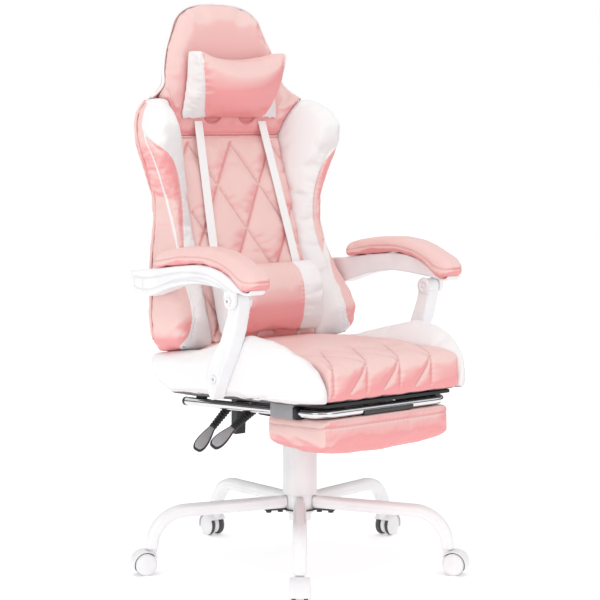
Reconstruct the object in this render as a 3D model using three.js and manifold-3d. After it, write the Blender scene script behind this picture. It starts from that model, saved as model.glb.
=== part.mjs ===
// Gaming chair on a five-leg caster base, with a pull-out footrest and linked armrests.
// Millimetres, +Z up. The sitter faces -Y, so the sitter's right hand is on the -X side.
import * as THREE from 'three';
import { mergeVertices } from 'three/addons/utils/BufferGeometryUtils.js';
import Module from 'manifold-3d';

const wasm = await Module();
wasm.setup();

// ---- Driving dimensions -------------------------------------------------------------------
const GAP = 0.4;                    // clearance between pieces that rest on each other
const SPLIT = 1.2;                  // clearance between the front pads and the rear shell of the backrest
const SWIVEL_AXIS = [-8, -22];      // where the swivel axis stands, from the middle of the floor box

const LEG_COUNT = 5;
const FIRST_LEG_DEG = -40.43;       // azimuth of leg 1, turned from -Y towards +X
const STEM_RADIUS = 340;            // circle of the caster stems
const LEG_TOP_Z = 142;
const LEG_BEND = 78;                // radius of the bend that drops each leg to its caster
const HUB = { inner: 25.4, outer: 32, bottom: 118, top: 158 };

const WHEEL = { radius: 25, trail: 18, inner: 8, outer: 22 };

const LIFT = { cylinder: 25, bore: 14.4, piston: 14, top: 290 };
const COVER = { bottom: 159, height: 116, wall: 2, radii: [38.4, 35.7, 33] };

const RAIL = { x: 181, radius: 9.5, front: -281, rear: 185, corner: 36 };
const RAIL_SLOPE = -0.05;           // the footrest rails and the seat bottom rise towards the front
const FOOTREST = { half: 179, front: -290, rear: -101, bottom: 308, crown: 12 };

const SEAT = { padHalf: 188, half: 255, rear: 190, sideRear: 218, board: 12 };
const HINGE = { y: 222, z: 474, radius: 5 };       // axis on which the backrest reclines

const BACK = { bottom: 501, hem: 480, seam: 956, top: 1262, centre: 150, tube: 10 };
const FRAME_X = 135;

const ARM = { inner: 262, outer: 304, cheek: 11 };
const POST = { inner: 257.5, outer: 291 };
const UPPER_PIVOT = [-130, 620];    // Y, Z of the joint between the post and the arm
const LOWER_PIVOT = [-60, 449];     // Y, Z of the joint between the post and the seat

// ---- Materials ----------------------------------------------------------------------------
const finish = (color, roughness, metalness = 0) =>
  new THREE.MeshStandardMaterial({ color, roughness, metalness });
const PINK = finish(0xe9b0b1, 0.5);
const WHITE = finish(0xf2f0f0, 0.5);
const WHITE_PLASTIC = finish(0xf4f4f5, 0.35);
const WHITE_METAL = finish(0xf3f3f4, 0.3, 0.1);
const CHROME = finish(0xd8d8da, 0.12, 1);
const BLACK = finish(0x202022, 0.6);
const BLACK_METAL = finish(0x26262a, 0.45, 0.6);
const STEEL = finish(0x9a9ca0, 0.35, 0.9);
const GREY = finish(0x8f8f93, 0.4);

// ---- Small helpers ------------------------------------------------------------------------
const chair = new THREE.Group();
chair.position.set(SWIVEL_AXIS[0], SWIVEL_AXIS[1], 0);

function add(name, geometry, material) {
  const mesh = new THREE.Mesh(geometry, material);
  mesh.name = name;
  chair.add(mesh);
  return mesh;
}

const radians = THREE.MathUtils.degToRad;
const v = (x, y, z) => new THREE.Vector3(x, y, z);
const SIDES = [['right', -1], ['left', 1]];

// Straight-line interpolation through [key, value] pairs in rising order of key.
function table(pairs) {
  return (key) => {
    if (key <= pairs[0][0]) return pairs[0][1];
    for (let i = 1; i < pairs.length; i += 1) {
      const [k0, v0] = pairs[i - 1];
      const [k1, v1] = pairs[i];
      if (key <= k1) return v0 + ((v1 - v0) * (key - k0)) / (k1 - k0);
    }
    return pairs[pairs.length - 1][1];
  };
}

// A closed body through rings of equal length, with a fan on each end.
function loft(rings) {
  const count = rings[0].length;
  const points = rings.flat();
  const middle = (ring) => ring.reduce((sum, p) => sum.add(p), v(0, 0, 0)).divideScalar(count);
  points.push(middle(rings[0]), middle(rings[rings.length - 1]));
  const faces = [];
  const last = (rings.length - 1) * count;
  for (let j = 0; j < count; j += 1) {
    const k = (j + 1) % count;
    for (let i = 0; i < rings.length - 1; i += 1) {
      const a = i * count;
      faces.push(a + j, a + k, a + count + k, a + j, a + count + k, a + count + j);
    }
    faces.push(points.length - 2, k, j, points.length - 1, last + j, last + k);
  }
  const geometry = new THREE.BufferGeometry().setFromPoints(points);
  geometry.setIndex(faces);
  return faceOut(geometry);
}

function flip(geometry) {
  const index = geometry.index.array;
  for (let i = 0; i < index.length; i += 3) [index[i], index[i + 1]] = [index[i + 1], index[i]];
  return geometry;
}

function faceOut(geometry) {
  const p = geometry.attributes.position;
  const index = geometry.index.array;
  const [a, b, c] = [v(0, 0, 0), v(0, 0, 0), v(0, 0, 0)];
  let volume = 0;
  for (let i = 0; i < index.length; i += 3) {
    a.fromBufferAttribute(p, index[i]);
    b.fromBufferAttribute(p, index[i + 1]);
    c.fromBufferAttribute(p, index[i + 2]);
    volume += a.dot(b.cross(c));
  }
  return volume < 0 ? flip(geometry) : geometry;
}

// Only position and a merged index are left, as the solid library needs.
function bare(geometry) {
  const copy = geometry.clone();
  copy.deleteAttribute('normal');
  copy.deleteAttribute('uv');
  return mergeVertices(copy, 1e-4);
}

function solid(geometry) {
  const clean = bare(geometry);
  const mesh = new wasm.Mesh({
    numProp: 3,
    vertProperties: new Float32Array(clean.attributes.position.array),
    triVerts: new Uint32Array(clean.index.array),
  });
  return new wasm.Manifold(mesh);
}

function fromSolid(body) {
  const mesh = body.getMesh();
  const geometry = new THREE.BufferGeometry();
  geometry.setAttribute('position', new THREE.BufferAttribute(mesh.vertProperties, 3));
  geometry.setIndex(new THREE.BufferAttribute(mesh.triVerts, 1));
  return geometry;
}

const join = (...parts) => fromSolid(parts.map(solid).reduce((sum, part) => sum.add(part)));
const cut = (body, ...tools) =>
  fromSolid(tools.map(solid).reduce((rest, tool) => rest.subtract(tool), solid(body)));

function mirrored(geometry) {
  const copy = bare(geometry);
  copy.scale(-1, 1, 1);
  return flip(copy);
}

// Each side's copy of a piece that is drawn on the +X side.
function addPair(name, geometry, material) {
  for (const [side, sign] of SIDES) {
    add(`${name}_${side}`, sign > 0 ? geometry : mirrored(geometry), material);
  }
}

// A loft drawn on the +X side only, from the middle plane outward and back, and joined to its mirror.
function loftBothSides(rings) {
  const half = loft(rings);
  return join(half, mirrored(half));
}

const outline = (points) => new THREE.Shape(points.map(([x, y]) => new THREE.Vector2(x, y)));

// An outline in Y and Z, extruded from x0 to x1.
function slabX(shape, x0, x1, bevel = 0) {
  const geometry = new THREE.ExtrudeGeometry(shape, {
    depth: x1 - x0 - 2 * bevel,
    bevelEnabled: bevel > 0,
    bevelSize: bevel,
    bevelOffset: -bevel,
    bevelThickness: bevel,
    bevelSegments: 1,
    curveSegments: 6,
  });
  const turn = new THREE.Matrix4().makeBasis(v(0, 1, 0), v(0, 0, 1), v(1, 0, 0));
  return geometry.applyMatrix4(turn).translate(x0 + bevel, 0, 0);
}

function box(x0, x1, y0, y1, z0, z1) {
  const geometry = new THREE.BoxGeometry(x1 - x0, y1 - y0, z1 - z0);
  return geometry.translate((x0 + x1) / 2, (y0 + y1) / 2, (z0 + z1) / 2);
}

// A cylinder along X, Y or Z between two places on that axis.
function rod(axis, radius, from, to, centre, sides = 16) {
  const geometry = new THREE.CylinderGeometry(radius, radius, to - from, sides);
  const middle = (from + to) / 2;
  if (axis === 'x') return geometry.rotateZ(Math.PI / 2).translate(middle, centre[0], centre[1]);
  if (axis === 'y') return geometry.translate(centre[0], middle, centre[1]);
  return geometry.rotateX(Math.PI / 2).translate(centre[0], centre[1], middle);
}

// A ring or disc turned about Z from a closed outline of [radius, z] points.
function turned(points, segments = 32) {
  const closed = [...points, points[0]].map(([r, z]) => new THREE.Vector2(r, z));
  return faceOut(bare(new THREE.LatheGeometry(closed, segments).rotateX(Math.PI / 2)));
}

function tube(path, radius, steps, sides = 10) {
  const section = new THREE.Shape().absarc(0, 0, radius, 0, 2 * Math.PI, false);
  const options = { steps, bevelEnabled: false, extrudePath: path, curveSegments: sides / 2 };
  return new THREE.ExtrudeGeometry(section, options);
}

// ---- Base ---------------------------------------------------------------------------------
function legGeometry() {
  const half = 14;
  const bendStart = STEM_RADIUS + 2 - LEG_BEND;
  const drop = 5;
  const centres = [[33, 0, 11], [62, 0, 12], [110, 0, 15], [bendStart, 0, 16]]
    .map(([r, angle, width]) => {
      const z = LEG_TOP_Z - (drop * (r - 33)) / (bendStart - 33);
      return { r, z, angle, width };
    });
  for (const angle of [18, 36, 54, 72, 90]) {
    const a = radians(angle);
    const r = bendStart + LEG_BEND * Math.sin(a);
    const z = LEG_TOP_Z - drop - LEG_BEND * (1 - Math.cos(a));
    centres.push({ r, z, angle, width: 16 - angle / 90 });
  }
  centres.push({ r: STEM_RADIUS + 2, z: 57.5, angle: 90, width: 15 });
  const rings = centres.map(({ r, z, angle, width }) => {
    const a = radians(angle);
    const profile = [[1, 0.15], [0.8, 0.75], [0.35, 1], [-0.35, 1], [-0.8, 0.75], [-1, 0.15],
      [-0.9, -0.6], [-0.5, -1], [0.5, -1], [0.9, -0.6]];
    return profile.map(([s, h]) => {
      const up = h * half;
      return v(r + up * Math.sin(a), s * width, z + up * Math.cos(a));
    });
  });
  return cut(loft(rings), rod('z', 5.8, 50, 84, [STEM_RADIUS, 0]));
}

function hoodGeometry() {
  const [cx, cz] = [STEM_RADIUS + WHEEL.trail, WHEEL.radius];
  const web = new THREE.Shape().absarc(0, 0, 22, 0, 2 * Math.PI, false);
  web.holes.push(new THREE.Path().absarc(0, 0, 4.6, 0, 2 * Math.PI, true));
  const fender = new THREE.Shape();
  fender.absarc(0, 0, 30, radians(-12), radians(118), false);
  fender.absarc(0, 0, 26.6, radians(118), radians(-12), true);
  const upright = (shape, half) => {
    const geometry = new THREE.ExtrudeGeometry(shape, { depth: 2 * half, bevelEnabled: false, curveSegments: 5 });
    return geometry.translate(0, 0, -half).rotateX(Math.PI / 2).translate(cx, 0, cz);
  };
  const link = box(cx - 18, cx + 10, -6.5, 6.5, cz + 12, cz + 28);
  const boss = join(rod('z', 7, 40, 57, [STEM_RADIUS, 0]), rod('z', 10, 51.5, 57, [STEM_RADIUS, 0]));
  const stem = rod('z', 5.2, 50, 82, [STEM_RADIUS, 0]);
  return join(upright(web, 6.5), upright(fender, WHEEL.outer), link, boss, stem);
}

function wheelsGeometry() {
  const { radius: r, inner, outer } = WHEEL;
  const half = [[r - 2, inner], [r, inner + 2], [r, outer - 3], [r - 4, outer], [0, outer + 0.8]];
  const lower = [...half].reverse().map(([q, z]) => [q, -z]);
  const profile = [...lower, [4.2, -inner], [4.2, inner], ...half];
  const points = profile.map(([q, z]) => new THREE.Vector2(q, z));
  const wheels = faceOut(bare(new THREE.LatheGeometry(points, 20)));
  return wheels.translate(STEM_RADIUS + WHEEL.trail, 0, r);
}

function addBase() {
  const { inner, outer, bottom, top } = HUB;
  add('base_hub', turned([[inner, bottom], [outer, bottom], [outer, top], [inner, top]]), WHITE_METAL);
  const leg = legGeometry();
  const hood = hoodGeometry();
  const wheels = wheelsGeometry();
  for (let i = 0; i < LEG_COUNT; i += 1) {
    const turn = radians(FIRST_LEG_DEG + (360 * i) / LEG_COUNT - 90);
    const number = i + 1;
    add(`base_leg_${number}`, leg, WHITE_METAL).rotation.z = turn;
    add(`caster_hood_${number}`, hood, WHITE_PLASTIC).rotation.z = turn;
    add(`caster_wheels_${number}`, wheels, WHITE_PLASTIC).rotation.z = turn;
  }
  add('leg_bolts', boltPlateGeometry(), BLACK_METAL);
}

// The legs are bolted from below to one star-shaped steel plate; the bolt heads belong to it.
function boltPlateGeometry() {
  const top = LEG_TOP_Z - 15.5;
  const parts = [turned([[26, top - 2.5], [40, top - 2.5], [40, top - GAP], [26, top - GAP]], 20)];
  for (let i = 0; i < LEG_COUNT; i += 1) {
    const turn = radians(FIRST_LEG_DEG + (360 * i) / LEG_COUNT - 90);
    const arm = box(38, 82, -7, 7, top - 2.5, top - GAP).rotateZ(turn);
    const heads = [46, 73].map((r) => rod('z', 6.2, top - 7, top - 1.5, [r, 0], 10).rotateZ(turn));
    parts.push(arm, ...heads);
  }
  return cut(join(...parts), rod('z', HUB.outer + GAP, 90, 140, [0, 0], 32));
}

// ---- Column -------------------------------------------------------------------------------
function addColumn() {
  const { cylinder, bore, piston, top } = LIFT;
  const cup = [[0, 100], [cylinder, 100], [cylinder, top], [bore, top], [bore, 122], [0, 122]]
    .map(([r, z]) => new THREE.Vector2(r, z));
  add('lift_cylinder', faceOut(bare(new THREE.LatheGeometry(cup, 28).rotateX(Math.PI / 2))), BLACK_METAL);
  add('lift_piston', rod('z', piston, 140, 372, [0, 0], 28), STEEL);
  const names = ['cover_lower', 'cover_middle', 'cover_upper'];
  names.forEach((name, i) => {
    const outer = COVER.radii[i];
    const inner = outer - COVER.wall;
    const low = COVER.bottom + 8 * i;
    const high = i === 2 ? 329 : low + COVER.height;
    const ring = i === 2
      ? [[inner, low], [outer, low], [outer, high], [LIFT.piston + GAP, high],
        [LIFT.piston + GAP, high - 3], [inner, high - 3]]
      : [[inner, low], [outer, low], [outer, high], [inner, high]];
    add(name, turned(ring, 36), WHITE_PLASTIC);
  });
}

// ---- Mechanism and levers -----------------------------------------------------------------
const seatBottom = (y) => 397 + RAIL_SLOPE * y;
const railZ = (y) => 374 + RAIL_SLOPE * y;

function addMechanism() {
  const top = (y) => seatBottom(y) - GAP;
  const plate = slabX(outline([[-115, top(-115)], [130, top(130)], [130, top(130) - 7],
    [-115, top(-115) - 7]]), -92, 92);
  const housing = slabX(outline([[-70, top(-70) - 3], [110, top(110) - 3], [110, 352], [80, 333],
    [-40, 333], [-70, 352]]), -52, 52);
  const body = join(plate, housing);
  const socket = rod('z', LIFT.piston + GAP, 320, 374, [0, 0], 28);
  const levers = LEVERS.map(({ y }) => rod('x', 6.5, -80, -36, [y, 364], 12));
  add('mechanism_plate', cut(body, socket, ...levers), BLACK_METAL);
  const bracket = slabX(outline([[108, 374], [130, 374], [131, 288], [113, 288]]), -92, -66);
  add('lever_bracket', bracket, BLACK_METAL);
}

// Both levers run out to the right side; each has a spindle, a ribbed grip and a flat paddle.
const PADDLE_ROLL_DEG = 40;           // how far each lever's paddle is rolled towards the front
const LEVERS = [
  { name: 'height', y: -10, path: [[-142, 363], [-199, 329]], tip: [-254, 294] },
  { name: 'recline', y: 90, path: [[-128, 360], [-177, 316]], tip: [-222, 270] },
];

function addLever({ name, y, path, tip }) {
  const [[x0, z0], [x1, z1]] = path;
  const length = Math.hypot(x1 - x0, z1 - z0);
  const lean = Math.atan2(x1 - x0, z1 - z0);
  const ribs = [new THREE.Vector2(0, -6), new THREE.Vector2(6.5, -6)];
  const count = 7;
  for (let i = 0; i < count; i += 1) {
    const s = (length * (i + 0.15)) / count;
    const step = length / count;
    ribs.push(new THREE.Vector2(9.5, s), new THREE.Vector2(9.5, s + 0.5 * step),
      new THREE.Vector2(7.5, s + 0.6 * step), new THREE.Vector2(7.5, s + 0.95 * step));
  }
  ribs.push(new THREE.Vector2(6.5, length - GAP), new THREE.Vector2(0, length - GAP));
  const grip = new THREE.LatheGeometry(ribs, 10).rotateX(Math.PI / 2).rotateY(lean).translate(x0, y, z0);
  const spindle = rod('x', 4.5, x0 - 2, -44, [y, 364], 10);
  add(`${name}_lever_grip`, join(faceOut(bare(grip)), spindle), BLACK);

  const along = v(tip[0] - x1, 0, tip[1] - z1);
  const reach = along.length();
  along.normalize();
  const blade = new THREE.Shape();
  blade.moveTo(0, -7);
  blade.lineTo(0.45 * reach, -13);
  blade.quadraticCurveTo(reach, -17, reach, -8);
  blade.lineTo(reach, 8);
  blade.quadraticCurveTo(reach, 17, 0.45 * reach, 13);
  blade.lineTo(0, 7);
  const depth = 8;
  const paddle = new THREE.ExtrudeGeometry(blade, { depth, bevelEnabled: false, curveSegments: 5 });
  const [wide, flat] = [v(0, 1, 0), v(-along.z, 0, along.x)];
  const roll = radians(PADDLE_ROLL_DEG);
  const across = wide.clone().multiplyScalar(Math.cos(roll)).addScaledVector(flat, -Math.sin(roll));
  const normal = flat.clone().multiplyScalar(Math.cos(roll)).addScaledVector(wide, Math.sin(roll));
  const turn = new THREE.Matrix4().makeBasis(along, across, normal);
  paddle.translate(2, 0, -depth / 2).applyMatrix4(turn).translate(x1, y, z1);
  add(`${name}_lever_paddle`, paddle, GREY);
}

// ---- Footrest -----------------------------------------------------------------------------
function railPath() {
  const { x, front, rear, corner } = RAIL;
  const side = [rear, 60, -80, front + corner + 45, front + corner].map((y) => v(x, y, railZ(y)));
  const bend = [30, 60].map((degrees) => {
    const a = radians(degrees);
    const y = front + corner * (1 - Math.sin(a));
    return v(x - corner * (1 - Math.cos(a)), y, railZ(y));
  });
  const bar = [x - corner, x - corner - 50, 60].map((place) => v(place, front, railZ(front)));
  const half = [...side, ...bend, ...bar];
  const other = half.map((p) => v(-p.x, p.y, p.z)).reverse();
  return new THREE.CatmullRomCurve3([...half, ...other], false, 'centripetal');
}

function addFootrest() {
  add('footrest_frame', tube(railPath(), RAIL.radius, 46), CHROME);
  const { half, front, rear, bottom, crown } = FOOTREST;
  const barZ = railZ(RAIL.front);
  const top = (y) => railZ(y) - RAIL.radius - 5.5;
  const spots = [-1, -0.94, -0.6, 0, 0.6, 0.94, 1];
  const rings = spots.map((s) => {
    const low = bottom - crown * (1 - s * s);
    const inset = Math.abs(s) === 1 ? 4 : 0;
    return [[front + inset, top(front) - inset], [rear - inset, top(rear) - inset],
      [rear - inset, bottom + 10], [rear - 14, low + 2 + inset], [(front + rear) / 2, low - 4 + inset],
      [front + 10, low + 2 + inset], [front + inset, bottom + 12]].map(([y, z]) => v(s * half, y, z));
  });
  add('footrest_pad', loft(rings), PINK);
  // A cradle that holds the front bar from below; the pad swings on it.
  const cradle = new THREE.Shape();
  cradle.absarc(RAIL.front, barZ, RAIL.radius + 3, Math.PI, 2 * Math.PI, false);
  cradle.absarc(RAIL.front, barZ, RAIL.radius + 0.5, 2 * Math.PI, Math.PI, true);
  const hinge = slabX(cradle, -70, 70);
  const tongue = box(-70, 70, RAIL.front + 4, RAIL.front + 44, top(RAIL.front) + 1.6, barZ - 9);
  const padTop = slabX(outline([[front - 5, top(front - 5) + GAP], [rear, top(rear) + GAP],
    [rear, 300], [front - 5, 300]]), -90, 90);
  const bar = rod('x', RAIL.radius + 0.5, -80, 80, [RAIL.front, barZ], 20);
  add('footrest_hinge', cut(join(hinge, tongue), padTop, bar), BLACK_METAL);
}

function addRailGuides() {
  const guide = (y0, y1, half) => {
    const top = (y) => seatBottom(y) - GAP;
    const low = (y) => railZ(y) - half;
    const body = slabX(outline([[y0, low(y0)], [y1, low(y1)], [y1, top(y1)], [y0, top(y0)]]),
      RAIL.x - half, RAIL.x + half, 1.5);
    const slope = Math.atan(RAIL_SLOPE);
    const bore = rod('y', RAIL.radius + 0.6, -80, 80, [0, 0], 20).rotateX(slope);
    return cut(body, bore.translate(RAIL.x, (y0 + y1) / 2, railZ((y0 + y1) / 2)));
  };
  addPair('rail_sleeve', guide(-205, -130, 13), GREY);
  addPair('rail_guide', guide(120, 150, 12.5), BLACK);
}

// ---- Seat ---------------------------------------------------------------------------------
const ridge = table([[-316, 440], [-310, 462], [-290, 490], [-257, 516], [-219, 534], [-189, 543],
  [-126, 550], [-25, 527], [33, 508], [80, 497], [142, 489], [218, 476]]);
const flank = table([[-316, 205], [-306, 216], [-290, 226], [-257, 238], [-200, 249], [-126, 255]]);

function addSeat() {
  const boardTop = (y) => seatBottom(y) + SEAT.board;
  const boardFront = -268;
  const board = slabX(outline([[boardFront, seatBottom(boardFront)], [185, seatBottom(185)],
    [185, boardTop(185)], [boardFront, boardTop(boardFront)]]), -186, 186);
  add('seat_board', board, BLACK);

  const lip = 1 - SEAT.board;         // the front edge of the pad wraps down in front of the board
  const padRings = [[-316, lip + 12, 484], [-310, lip, 496], [-270, lip, 502], [boardFront - 1, lip, 502],
    [boardFront - 0.5, 0, 502], [-150, 0, 506], [0, 0, 504], [100, 0, 497], [SEAT.rear, 0, 488]]
    .map(([y, lift, top]) => {
    const low = boardTop(y) + GAP + lift;
    const h = SEAT.padHalf - GAP;
    return [[-h, low], [h, low], [h, top - 4], [0.6 * h, top], [-0.6 * h, top], [-h, top - 4]]
      .map(([x, z]) => v(x, y, z));
  });
  add('seat_pad', loft(padRings), PINK);

  const sideRings = [-316, -310, -290, -257, -219, -189, -126, -60, -25, 33, 80, 142, 190, SEAT.sideRear]
    .map((y) => {
      const [out, high] = [flank(y), ridge(y)];
      const low = seatBottom(y) + Math.max(0, (y - 165) * 0.9);
      const inner = SEAT.padHalf + GAP;
      const tall = high - low;
      const down = (drop) => high - Math.min(drop, 0.02 * drop * tall);
      return [[inner, low], [out - 6, low], [out, low + Math.min(9, 0.2 * tall)], [out, down(16)],
        [out - 4, down(4)], [out - 0.3 * (out - inner), high], [inner, Math.min(down(12), 498)]]
        .map(([x, z]) => v(x, y, z));
    });
  addPair('seat_side', loft(sideRings), WHITE);

  const { y: hingeY, z: hingeZ, radius } = HINGE;
  const plate = box(-176, 176, SEAT.rear + 1, SEAT.rear + 7, seatBottom(SEAT.rear) - 4, hingeZ - 12);
  const foot = box(-176, 176, 120, SEAT.rear + 7, seatBottom(170) - 5, seatBottom(200) - GAP);
  const guideCut = box(-200, -160, 100, 160, 370, 395);
  const ear = slabX(outline([[SEAT.rear + 1, 440], [SEAT.rear + 1, hingeZ - 14], [hingeY - 9, hingeZ + 8],
    [hingeY + 9, hingeZ + 8], [hingeY + 9, hingeZ - 8], [SEAT.rear + 8, 440]]), 164, 171);
  const axle = rod('x', radius, -168, 168, [hingeY, hingeZ], 16);
  const frame = join(plate, foot, ear, mirrored(ear), axle);
  const plateClear = box(-93, 93, 100, 131, 370, 400);
  add('recline_bracket', cut(frame, plateClear, guideCut, mirrored(guideCut)), BLACK_METAL);
}

// ---- Backrest -----------------------------------------------------------------------------
// Every outline of the backrest is a table over these heights, so neighbouring pieces meet exactly.
const LEVELS = [480, 520, 560, 600, 640, 700, 760, 820, 880, 940, 956, 985, 1015, 1036, 1048, 1075,
  1100, 1155, 1190, 1230, 1250, 1262];
const levels = (low, high) => [low, ...LEVELS.filter((z) => z > low && z < high), high];

const frontY = table([[480, 106], [700, 169], [956, 251], [1100, 259], [1155, 265], [1262, 278]]);
const halfWidth = table([[480, 246], [520, 262], [560, 265], [600, 258], [640, 248], [700, 229],
  [760, 219], [820, 221], [860, 232], [900, 252], [940, 265], [980, 270], [1015, 258], [1036, 237], [1048, 210],
  [1075, 176], [1100, 169], [1155, 151], [1190, 135], [1230, 115], [1250, 88], [1262, 50]]);
const crestY = table([[480, 112], [520, 98], [560, 94], [600, 109], [640, 136], [700, 157], [760, 169],
  [820, 171], [880, 165], [940, 156], [985, 156], [1015, 172], [1036, 202], [1048, 228]]);
const tubeY = table([[480, 222], [600, 226], [700, 243], [820, 272], [956, 298], [1100, 303], [1262, 305]]);
const shellY = table([[480, 252], [600, 254], [700, 266], [820, 300], [956, 326], [1100, 334], [1262, 328]]);
const edgeY = table([[480, 210], [560, 213], [600, 221], [700, 257], [760, 260], [820, 256], [985, 258],
  [1048, 270], [1075, 280], [1100, 290], [1155, 304], [1262, 314]]);
const flatX = table([[956, FRAME_X], [1048, 118], [1100, 100], [1155, 80], [1190, 66], [1230, 52], [1262, 25]]);

// The face on which the front pads and the rear shell meet: flat between the frame tubes, then
// leaning forward to the outer edge.
function middleY(x, z) {
  const t = THREE.MathUtils.clamp((Math.abs(x) - flatX(z)) / (halfWidth(z) - flatX(z)), 0, 1);
  return THREE.MathUtils.lerp(tubeY(z), edgeY(z) - 12, t);
}

// The front of the head panel's outer edge, which comes forward into a corner over each shoulder.
const cornerY = table([[956, 255], [985, 250], [1015, 238], [1036, 224], [1048, 219], [1060, 240], [1075, 263]]);

// The lower edge rises towards the front, over the seat.
const hemZ = (y) => 500 - 0.19 * Math.max(0, y - 150);
const ringAt = (z, points) => points.map(([x, y]) => v(x, y, z === BACK.hem ? hemZ(y) : z));

function backTube(radius) {
  const side = [[FRAME_X, 478], [FRAME_X, 600], [FRAME_X, 700], [FRAME_X, 820], [FRAME_X, 956],
    [106, 1060], [78, 1140], [58, 1190], [40, 1220], [16, 1230]]
    .map(([x, z]) => v(x, tubeY(z) - 5, z));
  const other = side.map((p) => v(-p.x, p.y, p.z)).reverse();
  const path = new THREE.CatmullRomCurve3([...side, ...other], false, 'centripetal');
  const bars = [620, 900].map((z) => rod('x', radius, -FRAME_X, FRAME_X, [tubeY(z) - 5, z], 8));
  return join(tube(path, radius, 28, 8), ...bars);
}

function addBack() {
  const clear = backTube(BACK.tube + GAP);
  const { y: hy, z: hz, radius } = HINGE;
  const knuckle = rod('x', 11, FRAME_X - 12, FRAME_X + 12, [hy, hz], 16);
  const hole = rod('x', radius + 0.5, -200, 200, [hy, hz], 16);
  add('back_frame', cut(join(backTube(BACK.tube), knuckle, mirrored(knuckle)), hole), STEEL);

  const c = BACK.centre - GAP;
  const behind = (w, z) => {
    return [w, flatX(z), 0].map((x) => [x, middleY(x, z) - GAP]);
  };
  const centre = levels(BACK.bottom, BACK.seam - GAP).map((z) => {
    const f = frontY(z);
    return ringAt(z, [[0, f], [0.6 * c, f], [c, f + 4], ...behind(c, z)]);
  });
  add('back_centre_pad', cut(loftBothSides(centre), clear), PINK);

  const headHalf = table([[956, 152], [985, 162], [1015, 176], [1036, 189], [1048, 197], [1075, 176], [1100, 169], [1155, 151], [1190, 135],
    [1230, 115], [1250, 88], [1262, 50]]);
  const head = levels(BACK.seam + GAP, BACK.top).map((z) => {
    const w = headHalf(z);
    const f = frontY(z) + (z > 1240 ? 8 : 0);
    const side = z < 1075 ? cornerY(z) : Math.min(f + 5, middleY(w, z) - 3);
    return ringAt(z, [[0, f], [0.8 * w, f], [w, side], ...behind(w, z)]);
  });
  add('back_head_pad', cut(loftBothSides(head), clear), PINK);

  const innerX = table([[BACK.seam, BACK.centre + 2], [985, 163], [1015, 177], [1036, 190], [1048, 198]]);
  const bolster = levels(BACK.hem, 1040).map((z) => {
    const [a, b] = [innerX(z) + GAP, halfWidth(z)];
    const crest = crestY(z);
    const back = (x) => middleY(x, z) - GAP;
    const join1 = Math.max(crest + 6, Math.min(z < BACK.seam ? frontY(z) + 4 : cornerY(z), back(a) - 20));
    return ringAt(z, [[a, join1], [a + 0.45 * (b - a), crest + 8], [b - 12, crest], [b - 2, crest + 10],
      [b, (crest + back(b)) / 2], [b, back(b)], [a, back(a)]]);
  });
  addPair('back_bolster', cut(loft(bolster), clear), WHITE);

  const shell = levels(BACK.hem, BACK.top).map((z) => {
    const w = halfWidth(z);
    const rearAt = (x) => {
      const y = THREE.MathUtils.lerp(shellY(z), edgeY(z), Math.abs(x / w) ** 2.5);
      return Math.max(y, middleY(x, z) + 6);
    };
    const outside = [0, 0.5, 0.8, 1].map((s) => [s * w, rearAt(s * w)]);
    const inside = [w, flatX(z), 0].map((x) => [x, middleY(x, z) + SPLIT]);
    return ringAt(z, [...outside, ...inside]);
  });
  add('back_shell', cut(loftBothSides(shell), clear), PINK);
}

// ---- Loose cushions and straps ------------------------------------------------------------
function addCushions() {
  const roll = [[149, 666], [126, 672], [98, 656], [82, 622], [79, 585], [84, 545], [97, 514], [105, 511],
    [120, 560], [136, 620]];
  const lumbar = [[-146, 0.9], [-140, 1], [0, 1], [140, 1], [146, 0.9]]
    .map(([x, scale]) => roll.map(([y, z]) => v(x, 112 + (y - 112) * scale, 590 + (z - 590) * scale)));
  add('lumbar_cushion', loft(lumbar), PINK);

  // Widest behind at its foot and in front at its top, where it dips between the corners.
  const pillow = [[997, 232, 91, 237, 141], [1008, 200, 94, 229, 138], [1040, 172, 104, 212, 133],
    [1082, 164, 115, 199, 128], [1115, 174, 123, 194, 125], [1147, 204, 131, 193, 123]]
    .map(([z, bulge, front, seam, rear]) => {
      const t = (z - 997) / 150;
      const sag = (x) => (8 * (1 - t) - 16 * t) * (1 - (x / 141) ** 2);
      return [[0, bulge], [0.6 * front, bulge + 0.12 * (seam - bulge)], [front, seam], [rear, 250], [0, 250]]
        .map(([x, y]) => v(x, y, z + sag(x)));
    });
  add('head_pillow', loftBothSides(pillow), PINK);

  const strapX = table([[560, 119], [690, 116], [992, 93]]);
  const strap = [560, 600, 690, 760, 830, 900, 956, 992].map((z) => {
    const [x, y] = [strapX(z), frontY(z) - 1];
    return [[x - 11, y], [x + 11, y], [x + 11, y - 3], [x - 11, y - 3]].map(([px, py]) => v(px, py, z));
  });
  addPair('back_strap', loft(strap), WHITE);
}

// ---- Armrests -----------------------------------------------------------------------------
const armTop = [[-200, 646], [-191, 641], [-176, 642], [-158, 651], [-136, 666], [-104, 680],
  [-66, 688], [-21, 690], [56, 682], [136, 672], [200, 666], [222, 664]];
const armUnder = [[222, 640], [213, 622], [196, 612], [155, 610], [122, 620], [74, 635], [21, 645],
  [-17, 649], [-58, 648], [-92, 645], [-130, 642], [-152, 640], [-176, 635], [-193, 635], [-201, 640]];

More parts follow.
